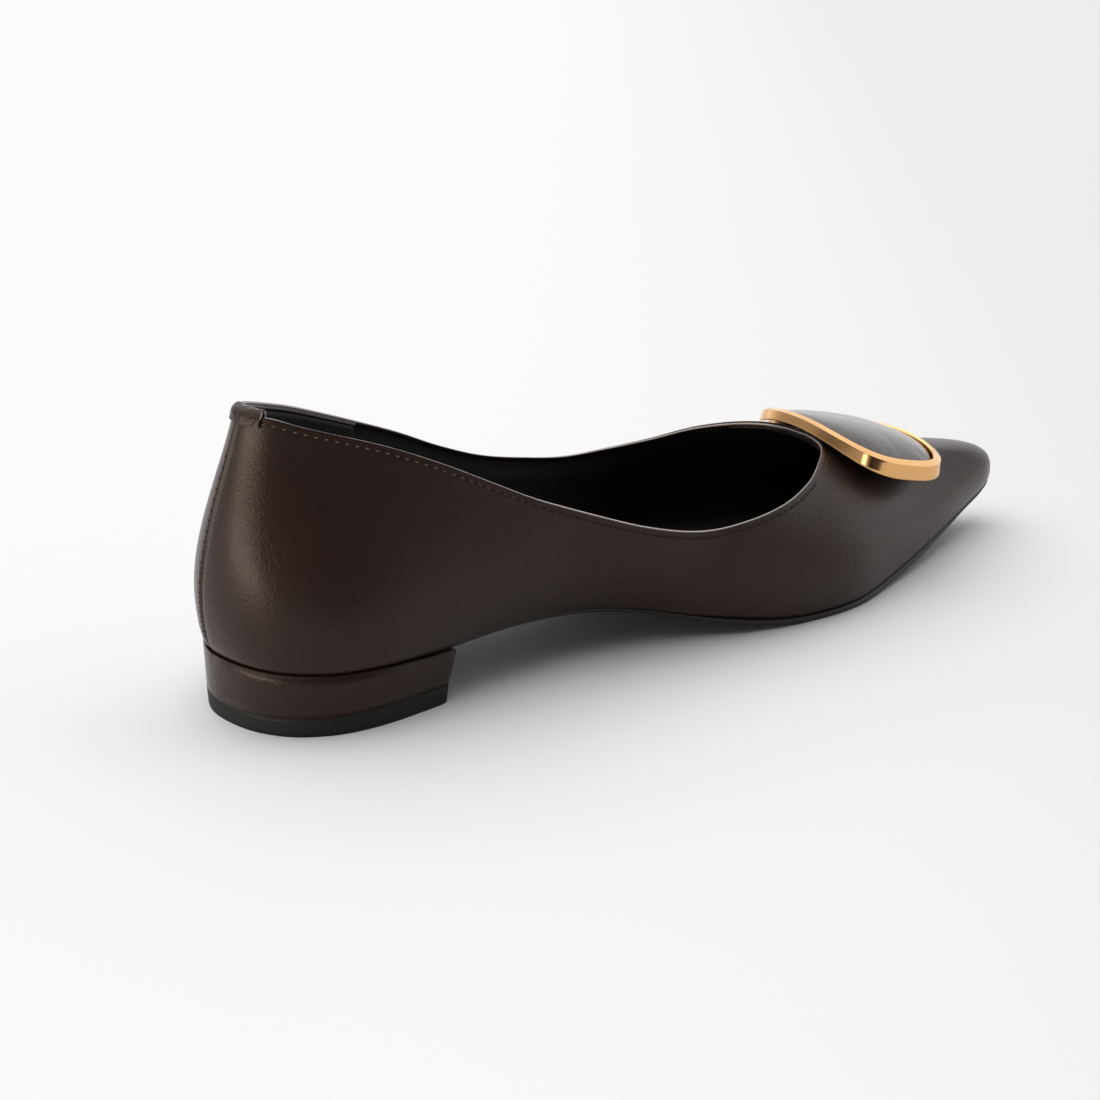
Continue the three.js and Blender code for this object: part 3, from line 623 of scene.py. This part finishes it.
bpy.ops.mesh.primitive_uv_sphere_add(segments=STITCH_SIDES, ring_count=STITCH_RINGS, radius=0.5,
                                     rotation=(0, math.pi / 2, 0))
stitch = bpy.context.object
bpy.ops.object.transform_apply(location=False, rotation=True, scale=False)
stitch.scale = (STITCH_LENGTH, THREAD, THREAD)
bpy.ops.object.transform_apply(location=False, rotation=False, scale=True)
select_corners(stitch, lambda co: abs(co.x) > END_FROM)
bpy.ops.transform.translate(value=(0, 0, -END_DIP))
bpy.ops.object.mode_set(mode="OBJECT")
stitch.data.materials.append(thread_finish)
bpy.ops.object.shade_smooth()
print("one stitch has", len(stitch.data.polygons), "faces")

# %% One needle hole
HOLE_WIDTH = 0.75 * MM
HOLE_RIM = 0.22 * HOLE_WIDTH
HOLE_DEPTH = 0.05 * MM
HOLE_SIDES = 8
bpy.ops.mesh.primitive_circle_add(vertices=HOLE_SIDES, radius=HOLE_WIDTH / 2, fill_type="NGON")
needle_hole = bpy.context.object
bpy.ops.object.mode_set(mode="EDIT")
bpy.ops.mesh.select_all(action="SELECT")
bpy.ops.mesh.inset(thickness=HOLE_RIM, depth=-HOLE_DEPTH)
bpy.ops.object.mode_set(mode="OBJECT")
needle_hole.data.materials.append(hole_finish)
print("one needle hole has", len(needle_hole.data.polygons), "faces")


# %% Find a place on the leather
TANGENT_STEP = 1.5 * MM
START_SLOPE = 0.7
SEARCH_STEPS = 4


def leather_tree(piece):
    mesh = piece.data
    faces = [tuple(f.vertices) for f in mesh.polygons if f.material_index == 0]
    return BVHTree.FromPolygons([v.co for v in mesh.vertices], faces)


def topline_point(run):
    run = run % topline_length
    index = min(int(np.searchsorted(reach, run, side="right")) - 1, len(steps) - 1)
    share = (run - reach[index]) / steps[index]
    point = topline_closed[index] * (1 - share) + topline_closed[index + 1] * share
    return Vector(point)


def below_fold(run, depth):
    point = topline_point(run)
    tangent = (topline_point(run + TANGENT_STEP) - topline_point(run - TANGENT_STEP)).normalized()
    outward = tangent.cross(Vector((0, 0, 1))).normalized()
    if outward.dot(point - Vector(COLLAR_MIDDLE)) < 0:
        outward = -outward
    way = (outward * START_SLOPE + Vector((0, 0, -1))).normalized()
    for _ in range(SEARCH_STEPS):
        spot, normal, _, _ = leather_surface.find_nearest(point + way * depth)
        way = spot - point
        way = (way - tangent * way.dot(tangent)).normalized()
    return spot, tangent, normal


leather_surface = leather_tree(upper)
print("stitches find their place on the leather's faces")


# %% Lay and join copies
def lay_copy(pattern, spot, tangent, normal, lift):
    side = normal.cross(tangent).normalized()
    forward = side.cross(normal).normalized()
    turn = Matrix((forward, side, normal)).transposed().to_4x4()
    copy = bpy.data.objects.new(pattern.name, pattern.data.copy())
    copy.data.transform(Matrix.Translation(spot + normal * lift) @ turn)
    bpy.context.scene.collection.objects.link(copy)
    return copy


def join_all(copies, name):
    pick_only(copies[0])
    for copy in copies:
        copy.select_set(True)
    bpy.ops.object.join()
    joined = bpy.context.object
    joined.name = name
    return joined


print("helpers for copies of a stitch are ready")

# %% Sew the topline
SEAM_CLEARANCE = 7.0 * MM
HOLE_LIFT = 0.08 * MM
TOPLINE_THREAD_LIFT = 0.18 * THREAD


def lay_on_topline(pattern, run, lift):
    spot, tangent, normal = below_fold(run, STITCH_LINE)
    return lay_copy(pattern, spot, tangent, normal, lift)


row = []
holes = []
run = SEAM_CLEARANCE
while run < topline_length - SEAM_CLEARANCE:
    row.append(lay_on_topline(stitch, run, TOPLINE_THREAD_LIFT))
    holes.append(lay_on_topline(needle_hole, run + STITCH_PITCH / 2, HOLE_LIFT))
    run += STITCH_PITCH
topline_stitches = join_all(row, "topline_stitches")
topline_holes = join_all(holes, "topline_needle_holes")
for sewn in (topline_stitches, topline_holes):
    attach(sewn, "root")
print(len(row), "stitches round the topline")

# %% [markdown]
# The back seam
#
# The two halves of the upper meet at the back. The near half is turned under and lies as a low lip,
# and beside it a row of stitches runs down in the seam's shadow. The groove itself is in the shell,
# so only its thread and holes are added here. Each is found by a ray from behind the heel.

# %% Sew the back seam
SEAM_LOW = 20 * MM
SEAM_HIGH = 64 * MM
SEAM_SIDE = 1.3 * MM
BEHIND_HEEL = -60 * MM
SEAM_THREAD_LIFT = 0.15 * THREAD


def lay_on_seam(pattern, level, lift):
    start = Vector((BEHIND_HEEL, SEAM_SIDE, level))
    spot, normal, _, _ = leather_surface.ray_cast(start, Vector((1, 0, 0)))
    upward = (Vector((0, 0, 1)) - normal * normal.z).normalized()
    return lay_copy(pattern, spot, upward, normal, lift)


row = []
holes = []
height = SEAM_LOW
while height < SEAM_HIGH:
    row.append(lay_on_seam(stitch, height, SEAM_THREAD_LIFT))
    holes.append(lay_on_seam(needle_hole, height + STITCH_PITCH / 2, HOLE_LIFT))
    height += STITCH_PITCH
seam_stitches = join_all(row, "back_seam_stitches")
seam_holes = join_all(holes, "back_seam_needle_holes")
for sewn in (seam_stitches, seam_holes):
    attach(sewn, "root")
for pattern in (stitch, needle_hole):
    bpy.data.objects.remove(pattern)
print(len(row), "stitches down the back seam")

# %% [markdown]
# The heel grip
#
# A second piece of lining, the heel grip, is stuck inside the back so that the heel doesn't slip. It
# ends in a clear upright edge a little way forward. It is made from the shell's own lining faces:
# they are duplicated and separated with some to spare, cut straight in front and below, and given a
# thickness of their own. Whole faces alone would leave steps at the edge.

# %% Cut the heel grip from the lining
GRIP_FRONT = 24.5 * MM
GRIP_TOP = 1.3 * MM
GRIP_BOTTOM_Z = 21 * MM
GRIP_THICKNESS = 0.7 * MM
GRIP_SPARE = 3 * MM
FRONT_CUT = ((GRIP_FRONT, 0, 0), (1, 0, 0))
LOWER_CUT = ((0, 0, GRIP_BOTTOM_Z), (0, 0, -1))

start_edit(upper, "faces")
bpy.ops.object.mode_set(mode="OBJECT")
for face in upper.data.polygons:
    far_from_fold = min(away[v] for v in face.vertices) > GRIP_TOP
    behind = face.center.x < GRIP_FRONT + GRIP_SPARE
    above = face.center.z > GRIP_BOTTOM_Z - GRIP_SPARE
    face.select = face.material_index == 1 and far_from_fold and behind and above
bpy.ops.object.mode_set(mode="EDIT")
bpy.ops.mesh.duplicate()
bpy.ops.mesh.separate(type="SELECTED")
bpy.ops.object.mode_set(mode="OBJECT")
heel_grip = [o for o in bpy.context.selected_objects if o is not upper][0]
heel_grip.name = "heel_grip_lining"
# The copied faces still carry the upper's body and node, which aren't the grip's.
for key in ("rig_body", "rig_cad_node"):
    if key in heel_grip:
        del heel_grip[key]
pick_only(heel_grip)
for cut_at, away_side in (FRONT_CUT, LOWER_CUT):
    bpy.ops.object.mode_set(mode="EDIT")
    bpy.ops.mesh.select_all(action="SELECT")
    bpy.ops.mesh.bisect(plane_co=cut_at, plane_no=away_side, clear_outer=True)
    bpy.ops.object.mode_set(mode="OBJECT")
# The grip's faces have the lining in slot 1, so one slot further is the cut edge's.
heel_grip.data.materials[2] = grip_edge
thicken = heel_grip.modifiers.new("thickness", "SOLIDIFY")
thicken.thickness = GRIP_THICKNESS
thicken.offset = 1.0
thicken.material_offset_rim = 1
bpy.ops.object.modifier_apply(modifier=thicken.name)
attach(heel_grip, "root")
print("heel grip has", len(heel_grip.data.polygons), "faces")

# %% [markdown]
# The tab over the seam
#
# Where the seam reaches the topline, a small strip of the same leather is rolled over the edge and
# glued down. It covers the seam's end. The strip is cut, not folded, so its narrow raw edges are
# light, and they are found by their sharp sides and their width. The thin leather also lies a little
# uneven, which a displacement by a soft noise gives it.

# %% Roll the tab
CUT_EDGE_DEGREES = 50
TAB_CREASE = 0.6
TAB_SHEET = 0.8 * MM
SAME_LENGTH = 0.05 * MM
TAB_WAVE_SIZE = 2.2 * MM
TAB_WAVE = 0.35 * MM

heel_tab = merged_copy("heel_tab", "rolled_heel_tab")
heel_tab.data.materials.append(trim_calf)
heel_tab.data.materials.append(raw_edge_and_highlight_calf)
faces_at = {}
for face in heel_tab.data.polygons:
    for key in face.edge_keys:
        faces_at.setdefault(key, []).append(face)
for face in heel_tab.data.polygons:
    bends = [faces_at[key][0].normal.angle(faces_at[key][1].normal) for key in face.edge_keys]
    sharp = sum(1 for bend in bends if bend > math.radians(CUT_EDGE_DEGREES))
    ends = [[heel_tab.data.vertices[i].co for i in key] for key in face.edge_keys]
    thin = min((a - b).length for a, b in ends)
    face.material_index = 1 if sharp >= 2 and abs(thin - TAB_SHEET) < SAME_LENGTH else 0
crease_sharp_edges(heel_tab, CUT_EDGE_DEGREES, TAB_CREASE)
smooth_by_subdivision(heel_tab, SMALL_PIECE_LEVELS)
waves = bpy.data.textures.new("tab_waves", "CLOUDS")
waves.noise_scale = TAB_WAVE_SIZE
waver = heel_tab.modifiers.new("uneven", "DISPLACE")
waver.texture = waves
waver.strength = TAB_WAVE
waver.mid_level = 0.5
bpy.ops.object.modifier_apply(modifier=waver.name)
print(sum(1 for f in heel_tab.data.polygons if f.material_index == 1), "faces of raw edge on the tab")
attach(heel_tab, "root")
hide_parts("heel_tab")

# %% [markdown]
# The sock and the soles
#
# Under the foot lies a black leather sock on the insole board. The outsole is a thin black leather
# sole, cut to the last's bottom and stained at its edge. Both are sheets with crisp edges, so their
# sharp edges get a crease before they are smoothed.

# %% Sock
SHEET_EDGE_DEGREES = 35
SOCK_CREASE = 0.7
sock = merged_copy("insole", "insole_sock")
crease_sharp_edges(sock, SHEET_EDGE_DEGREES, SOCK_CREASE)
smooth_by_subdivision(sock, SMOOTH_LEVELS)
sock.data.materials.append(lining_leather)
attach(sock, "root")
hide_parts("insole")

# %% Stained sole leather
FIBRE_LENGTH = 6 * MM
FIBRE_WIDTH = 0.7 * MM
sole_leather, tree, place = new_finish("stained_sole_leather")
squeeze = {"Vector": place, "Scale": (1 / FIBRE_LENGTH, 1 / FIBRE_WIDTH, 1 / FIBRE_WIDTH)}
stretched = add_node(tree, "Mapping", squeeze).outputs["Vector"]
fibres = add_node(tree, "TexNoise", {"Vector": stretched, "Scale": 1.0, "Detail": 4.0})
sole_tone = add_node(tree, "Mix", {"Factor": fibres.outputs["Fac"], "A": tone("#0e0b0a"),
                                   "B": tone("#151210")}, data_type="RGBA")
sole_bump = add_node(tree, "Bump", {"Height": fibres.outputs["Fac"], "Strength": 0.2,
                                    "Distance": 0.1 * MM})
shader = add_node(tree, "BsdfPrincipled", {"Base Color": sole_tone.outputs["Result"],
                                           "Roughness": 0.5, "Normal": sole_bump.outputs["Normal"]})
close_finish(tree, shader)
print("sole leather is ready")

# %% Outsole
SOLE_CREASE = 0.8
outsole = merged_copy("outsole", "leather_outsole")
crease_sharp_edges(outsole, SHEET_EDGE_DEGREES, SOLE_CREASE)
smooth_by_subdivision(outsole, SMOOTH_LEVELS)
keep_off_floor(outsole)
outsole.data.materials.append(sole_leather)
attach(outsole, "root")
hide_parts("outsole")

# %% [markdown]
# The heel
#
# The heel is a low block of stacked board, wrapped in the upper's leather with its edges turned in
# above and below. Under it sits a plain top-lift of near-black rubber.

# %% Wrapped heel block
HEEL_CREASE = 0.8
heel_block = merged_copy("heel_block", "wrapped_heel_block")
crease_sharp_edges(heel_block, SHEET_EDGE_DEGREES, HEEL_CREASE)
smooth_by_subdivision(heel_block, SMOOTH_LEVELS)
heel_calf = box_calf("box_calf_heel_wrap", "#281b17", "#211612", False)
heel_block.data.materials.append(heel_calf)
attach(heel_block, "root")
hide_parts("heel_block")

# %% Rubber
RUBBER_GRAIN = 0.35 * MM
lift_rubber, tree, place = new_finish("moulded_rubber_black")
pits = add_node(tree, "TexNoise", {"Vector": place, "Scale": 1 / RUBBER_GRAIN, "Detail": 2.0})
rubber_bump = add_node(tree, "Bump", {"Height": pits.outputs["Fac"], "Strength": 0.25,
                                      "Distance": 0.05 * MM})
rubber_tone = add_node(tree, "Mix", {"Factor": pits.outputs["Fac"], "A": tone("#0b0c0b"),
                                     "B": tone("#111211")}, data_type="RGBA")
shader = add_node(tree, "BsdfPrincipled",
                  {"Base Color": rubber_tone.outputs["Result"], "Roughness": 0.65,
                   "Specular IOR Level": 0.3, "Normal": rubber_bump.outputs["Normal"]})
close_finish(tree, shader)
print("rubber is ready")

# %% Top-lift
LIFT_CREASE = 0.85
top_lift = merged_copy("heel_top_lift", "rubber_top_lift")
crease_sharp_edges(top_lift, SHEET_EDGE_DEGREES, LIFT_CREASE)
smooth_by_subdivision(top_lift, SMOOTH_LEVELS)
keep_off_floor(top_lift)
top_lift.data.materials.append(lift_rubber)
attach(top_lift, "root")
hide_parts("heel_top_lift")

# %% [markdown]
# The gold ring
#
# The ring is cast zinc, polished and plated in a pale warm gold. Polished metal mirrors what is round
# it: the bright floor, the lamps and the dark leather beside it. So its faces must be truly smooth,
# with small even rounds at their edges. The ring's top also slopes down to the outside more than the
# CAD's does, so its outer top edge and the edge below that are lowered a little first. The edge loops
# round the ring are found and moved whole, as by hand.

# %% Gold plate
POLISH_SIZE = 9 * MM
gold_plate, tree, place = new_finish("gold_plate_polished")
haze = add_node(tree, "TexNoise", {"Vector": place, "Scale": 1 / POLISH_SIZE, "Detail": 4.0})
gloss = add_node(tree, "MapRange", {"Value": haze.outputs["Fac"], "To Min": 0.05, "To Max": 0.16})
gold_tone = add_node(tree, "Mix", {"Factor": haze.outputs["Fac"], "A": tone("#dda86a"),
                                   "B": tone("#e8ba84")}, data_type="RGBA")
shader = add_node(tree, "BsdfPrincipled", {"Base Color": gold_tone.outputs["Result"], "Metallic": 1.0,
                                           "Roughness": gloss.outputs["Result"]})
close_finish(tree, shader)
print("gold plate is ready")

# %% Find the ring's edge loops
RING_COLUMNS = 60
ring = merged_copy("buckle_frame", "gold_buckle_ring")


def edge_loops(piece, size):
    loops = []
    left = {e.index for e in piece.data.edges}
    while left:
        first = min(left)
        found = select_loop(piece, first)
        left -= {first, *found}
        if len(found) == size:
            loops.append(sorted({v for e in found for v in piece.data.edges[e].vertices}))
    return loops


def plan_size(loop):
    places = ring_corners[loop][:, :2]
    return np.linalg.norm(places - ring_corners[:, :2].mean(axis=0), axis=1).mean()


ring_corners = corner_values(ring.data)
around = sorted(edge_loops(ring, RING_COLUMNS), key=plan_size, reverse=True)
print("the ring has", len(around), "edge loops round it")

# %% Lower the ring's outer top edge
WALL_DROP = 0.5 * MM
TOP_DROP = 0.7 * MM
TOP_OUT = 0.35 * MM
outer_bottom, outer_wall, outer_top, inner_top = around[:4]


def way_between(start_loop, end_loop):
    starts = ring_corners[start_loop]
    ends = ring_corners[end_loop]
    nearest = np.linalg.norm(starts[:, None] - ends[None], axis=2).argmin(axis=1)
    way = ends[nearest] - starts
    return way / np.linalg.norm(way, axis=1, keepdims=True)


wall_down = way_between(outer_wall, outer_bottom)
top_down = way_between(outer_top, outer_bottom)
top_out = -way_between(outer_top, inner_top)
moved = ring_corners.copy()
moved[outer_wall] += wall_down * WALL_DROP
moved[outer_top] += top_down * TOP_DROP + top_out * TOP_OUT
move_corners(ring, moved)
print("the outer top edge is", TOP_DROP / MM, "mm lower")

# %% Round and plate the ring
RING_EDGE_DEGREES = 30
RING_CREASE = 0.55
crease_sharp_edges(ring, RING_EDGE_DEGREES, RING_CREASE)
smooth_by_subdivision(ring, SMALL_PIECE_LEVELS)
ring.data.materials.append(gold_plate)
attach(ring, "root")
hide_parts("buckle_frame")

# %% [markdown]
# The padded panel
#
# Inside the ring lies a piece of the same leather, drawn over a thin foam pad. It is crowned, and
# falls away to the ring all round. The pad is swelled with a short cloth simulation: pressure pushes
# the leather out while its underside is held. Cloth behaves well at the size of a chair, so the panel
# is enlarged for it. Then no corner may stay further out than a small cap, which keeps the CAD's size.

# %% Even out the panel's faces
PANEL_VOXEL = 0.5 * MM
EVEN_STEPS = 8
panel = merged_copy("buckle_panel", "padded_panel")
smooth_by_subdivision(panel, SMOOTH_LEVELS)
remesher = panel.modifiers.new("even", "REMESH")
remesher.mode = "VOXEL"
remesher.voxel_size = PANEL_VOXEL
remesher.use_smooth_shade = True
bpy.ops.object.modifier_apply(modifier=remesher.name)
evener = panel.modifiers.new("even out", "SMOOTH")
evener.iterations = EVEN_STEPS
bpy.ops.object.modifier_apply(modifier=evener.name)
print("panel remeshed to", len(panel.data.polygons), "faces")

# %% Swell the panel
SWELL_SCALE = 20.0
SWELL_PRESSURE = 2.5
SWELL_FRAMES = 20
SWELL_CAP = 0.35 * MM
TOP_FACING = 0.35
LEATHER_STIFFNESS = 5.0

before = corner_values(panel.data)
held = panel.vertex_groups.new(name="held")
held.add([v.index for v in panel.data.vertices if v.normal.z < TOP_FACING], 1.0, "REPLACE")
move_corners(panel, before * SWELL_SCALE)
cloth = panel.modifiers.new("swell", "CLOTH")
cloth.settings.use_pressure = True
cloth.settings.uniform_pressure_force = SWELL_PRESSURE
cloth.settings.vertex_group_mass = "held"
cloth.settings.bending_stiffness = LEATHER_STIFFNESS
cloth.settings.effector_weights.gravity = 0.0
cloth.point_cache.frame_start = 1
cloth.point_cache.frame_end = SWELL_FRAMES
for moment in range(1, SWELL_FRAMES + 1):
    bpy.context.scene.frame_set(moment)
bpy.ops.object.modifier_apply(modifier=cloth.name)
bpy.context.scene.frame_set(1)
push = corner_values(panel.data) / SWELL_SCALE - before
far = np.linalg.norm(push, axis=1, keepdims=True)
print("pressure moved the leather by up to", round(float(far.max()) / MM, 2), "mm")
push *= np.minimum(1.0, SWELL_CAP / np.maximum(far, SAME_POINT))
move_corners(panel, before + push)

# %% Settle and cover the panel
SETTLE_STEPS = 40
settle = panel.modifiers.new("settle", "SMOOTH")
settle.iterations = SETTLE_STEPS
bpy.ops.object.modifier_apply(modifier=settle.name)
smooth_by_subdivision(panel, 1, corrections=0)
panel.data.materials.append(panel_calf)
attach(panel, "root")
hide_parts("buckle_panel")

# %% [markdown]
# Floor and light
#
# The shoe stands on a white sweep in soft studio light. The surroundings do most of the work: a wide
# bright ceiling, a little to the left and behind, gives the soft shadow to the right, and the white
# wall behind shines in the toe and the panel. The side of the viewer is dark, which keeps the leather
# dark. One long lamp at the left gives the highlight on the heel, and a small white card gives the
# bright patch on the ring's near wall. Both are kept to the pieces that show them in the photograph.

# %% Floor
FLOOR_SIZE = 12.0
DARKER_WAY = (0.84, -0.55, 0.0)
DARKER_FROM = 0.02
DARKER_TO = 0.32
bpy.ops.mesh.primitive_plane_add(size=FLOOR_SIZE, location=(0, 0, 0))
floor = bpy.context.object
floor.name = "studio_floor"
sweep, tree, place = new_finish("white_sweep")
# Toward the right the floor is painted darker: painted shade standing in for the light's falloff.
toward_right = add_node(tree, "VectorMath", {0: place, 1: DARKER_WAY}, operation="DOT_PRODUCT")
painted_falloff = add_node(tree, "MapRange", {"Value": toward_right.outputs["Value"],
                                      "From Min": DARKER_FROM, "From Max": DARKER_TO},
                   interpolation_type="SMOOTHSTEP").outputs["Result"]
sweep_tone = add_node(tree, "Mix", {"Factor": painted_falloff, "A": tone("#e6e6e6"), "B": tone("#d8d7d7")},
                      data_type="RGBA")
shader = add_node(tree, "BsdfPrincipled", {"Base Color": sweep_tone.outputs["Result"],
                                           "Roughness": 0.75, "Specular IOR Level": 0.2})
close_finish(tree, shader)
floor.data.materials.append(sweep)
print("floor of", FLOOR_SIZE, "m")


# %% Lamps
HEEL_MIDDLE = (-0.02, 0.0, 0.05)
RING_SIDE = (0.156, -0.02, 0.038)
LAMP_AT = (-0.96, -0.02, 0.2)
LAMP_SIZE = (0.68, 0.18)
LAMP_WATTS = 5.0
CARD_AT = (-0.262, -0.807, 0.163)
CARD_SIZE = (0.14, 0.1)
CARD_WATTS = 0.12


def soft_lamp(name, place, aim, size, watts, colour):
    away = Vector(place) - Vector(aim)
    turn = away.to_track_quat("Z", "Y").to_euler()
    bpy.ops.object.light_add(type="AREA", location=place, rotation=turn)
    lamp = bpy.context.object
    lamp.name = name
    lamp.data.shape = "RECTANGLE"
    lamp.data.size, lamp.data.size_y = size
    lamp.data.energy = watts
    lamp.data.color = tone(colour)[:3]
    return lamp


def link_lamp(lamp, pieces, state):
    linked = bpy.data.collections.new(lamp.name + "_" + state.lower())
    for piece in pieces:
        linked.objects.link(piece)
    for entry in linked.collection_objects:
        entry.light_linking.link_state = state
    lamp.light_linking.receiver_collection = linked


lamp_left = soft_lamp("lamp_left", LAMP_AT, HEEL_MIDDLE, LAMP_SIZE, LAMP_WATTS, "#fff0e0")
link_lamp(lamp_left, [ring, floor], "EXCLUDE")
card = soft_lamp("white_card", CARD_AT, RING_SIDE, CARD_SIZE, CARD_WATTS, "#fff8ee")
link_lamp(card, [ring], "INCLUDE")
print("lamps:", lamp_left.name, "and", card.name)

# %% Surroundings
BACKDROP_STRENGTH = 1.25
FRONT_STRENGTH = 0.5
CAMERA_SIDE_STRENGTH = 0.03
OVERHEAD_STRENGTH = 2.3
# Each holds a way to look, and the two cosines to it between which the light changes.
UPWARD = ((0.0, 0.0, 1.0), 0.2, 0.45)
BEHIND_SHOE = ((0.82, 0.57, 0.0), 0.0, 0.45)
TOWARD_CAMERA = ((-0.03, -1.0, 0.0), 0.92, 0.97)
OVERHEAD = ((-0.27, 0.29, 0.92), 0.62, 0.92)
world = bpy.data.worlds.new("studio")
bpy.context.scene.world = world
world.use_nodes = True
studio = world.node_tree
studio.nodes.clear()
direction = add_node(studio, "TexCoord").outputs["Generated"]
shares = []
for way, start, end in (UPWARD, TOWARD_CAMERA, BEHIND_SHOE, OVERHEAD):
    facing = add_node(studio, "VectorMath", {0: direction, 1: way}, operation="DOT_PRODUCT")
    rising = {"Value": facing.outputs["Value"], "From Min": start, "From Max": end}
    shares.append(add_node(studio, "MapRange", rising, interpolation_type="SMOOTHSTEP").outputs["Result"])
upward, viewer_side, behind, ceiling = shares
power = FRONT_STRENGTH
for share, strength in ((upward, CAMERA_SIDE_STRENGTH), (viewer_side, CAMERA_SIDE_STRENGTH),
                        (behind, BACKDROP_STRENGTH), (ceiling, OVERHEAD_STRENGTH)):
    layer = {"Factor": share, "A": power, "B": strength}
    power = add_node(studio, "Mix", layer, data_type="FLOAT").outputs["Result"]
tint = add_node(studio, "Mix", {"Factor": behind, "A": tone("#fffdfb"), "B": tone("#fdfdff")},
                data_type="RGBA")
glow = add_node(studio, "Background", {"Color": tint.outputs["Result"], "Strength": power})
add_node(studio, "OutputWorld", {"Surface": glow.outputs["Background"]})
print("the surroundings are set")
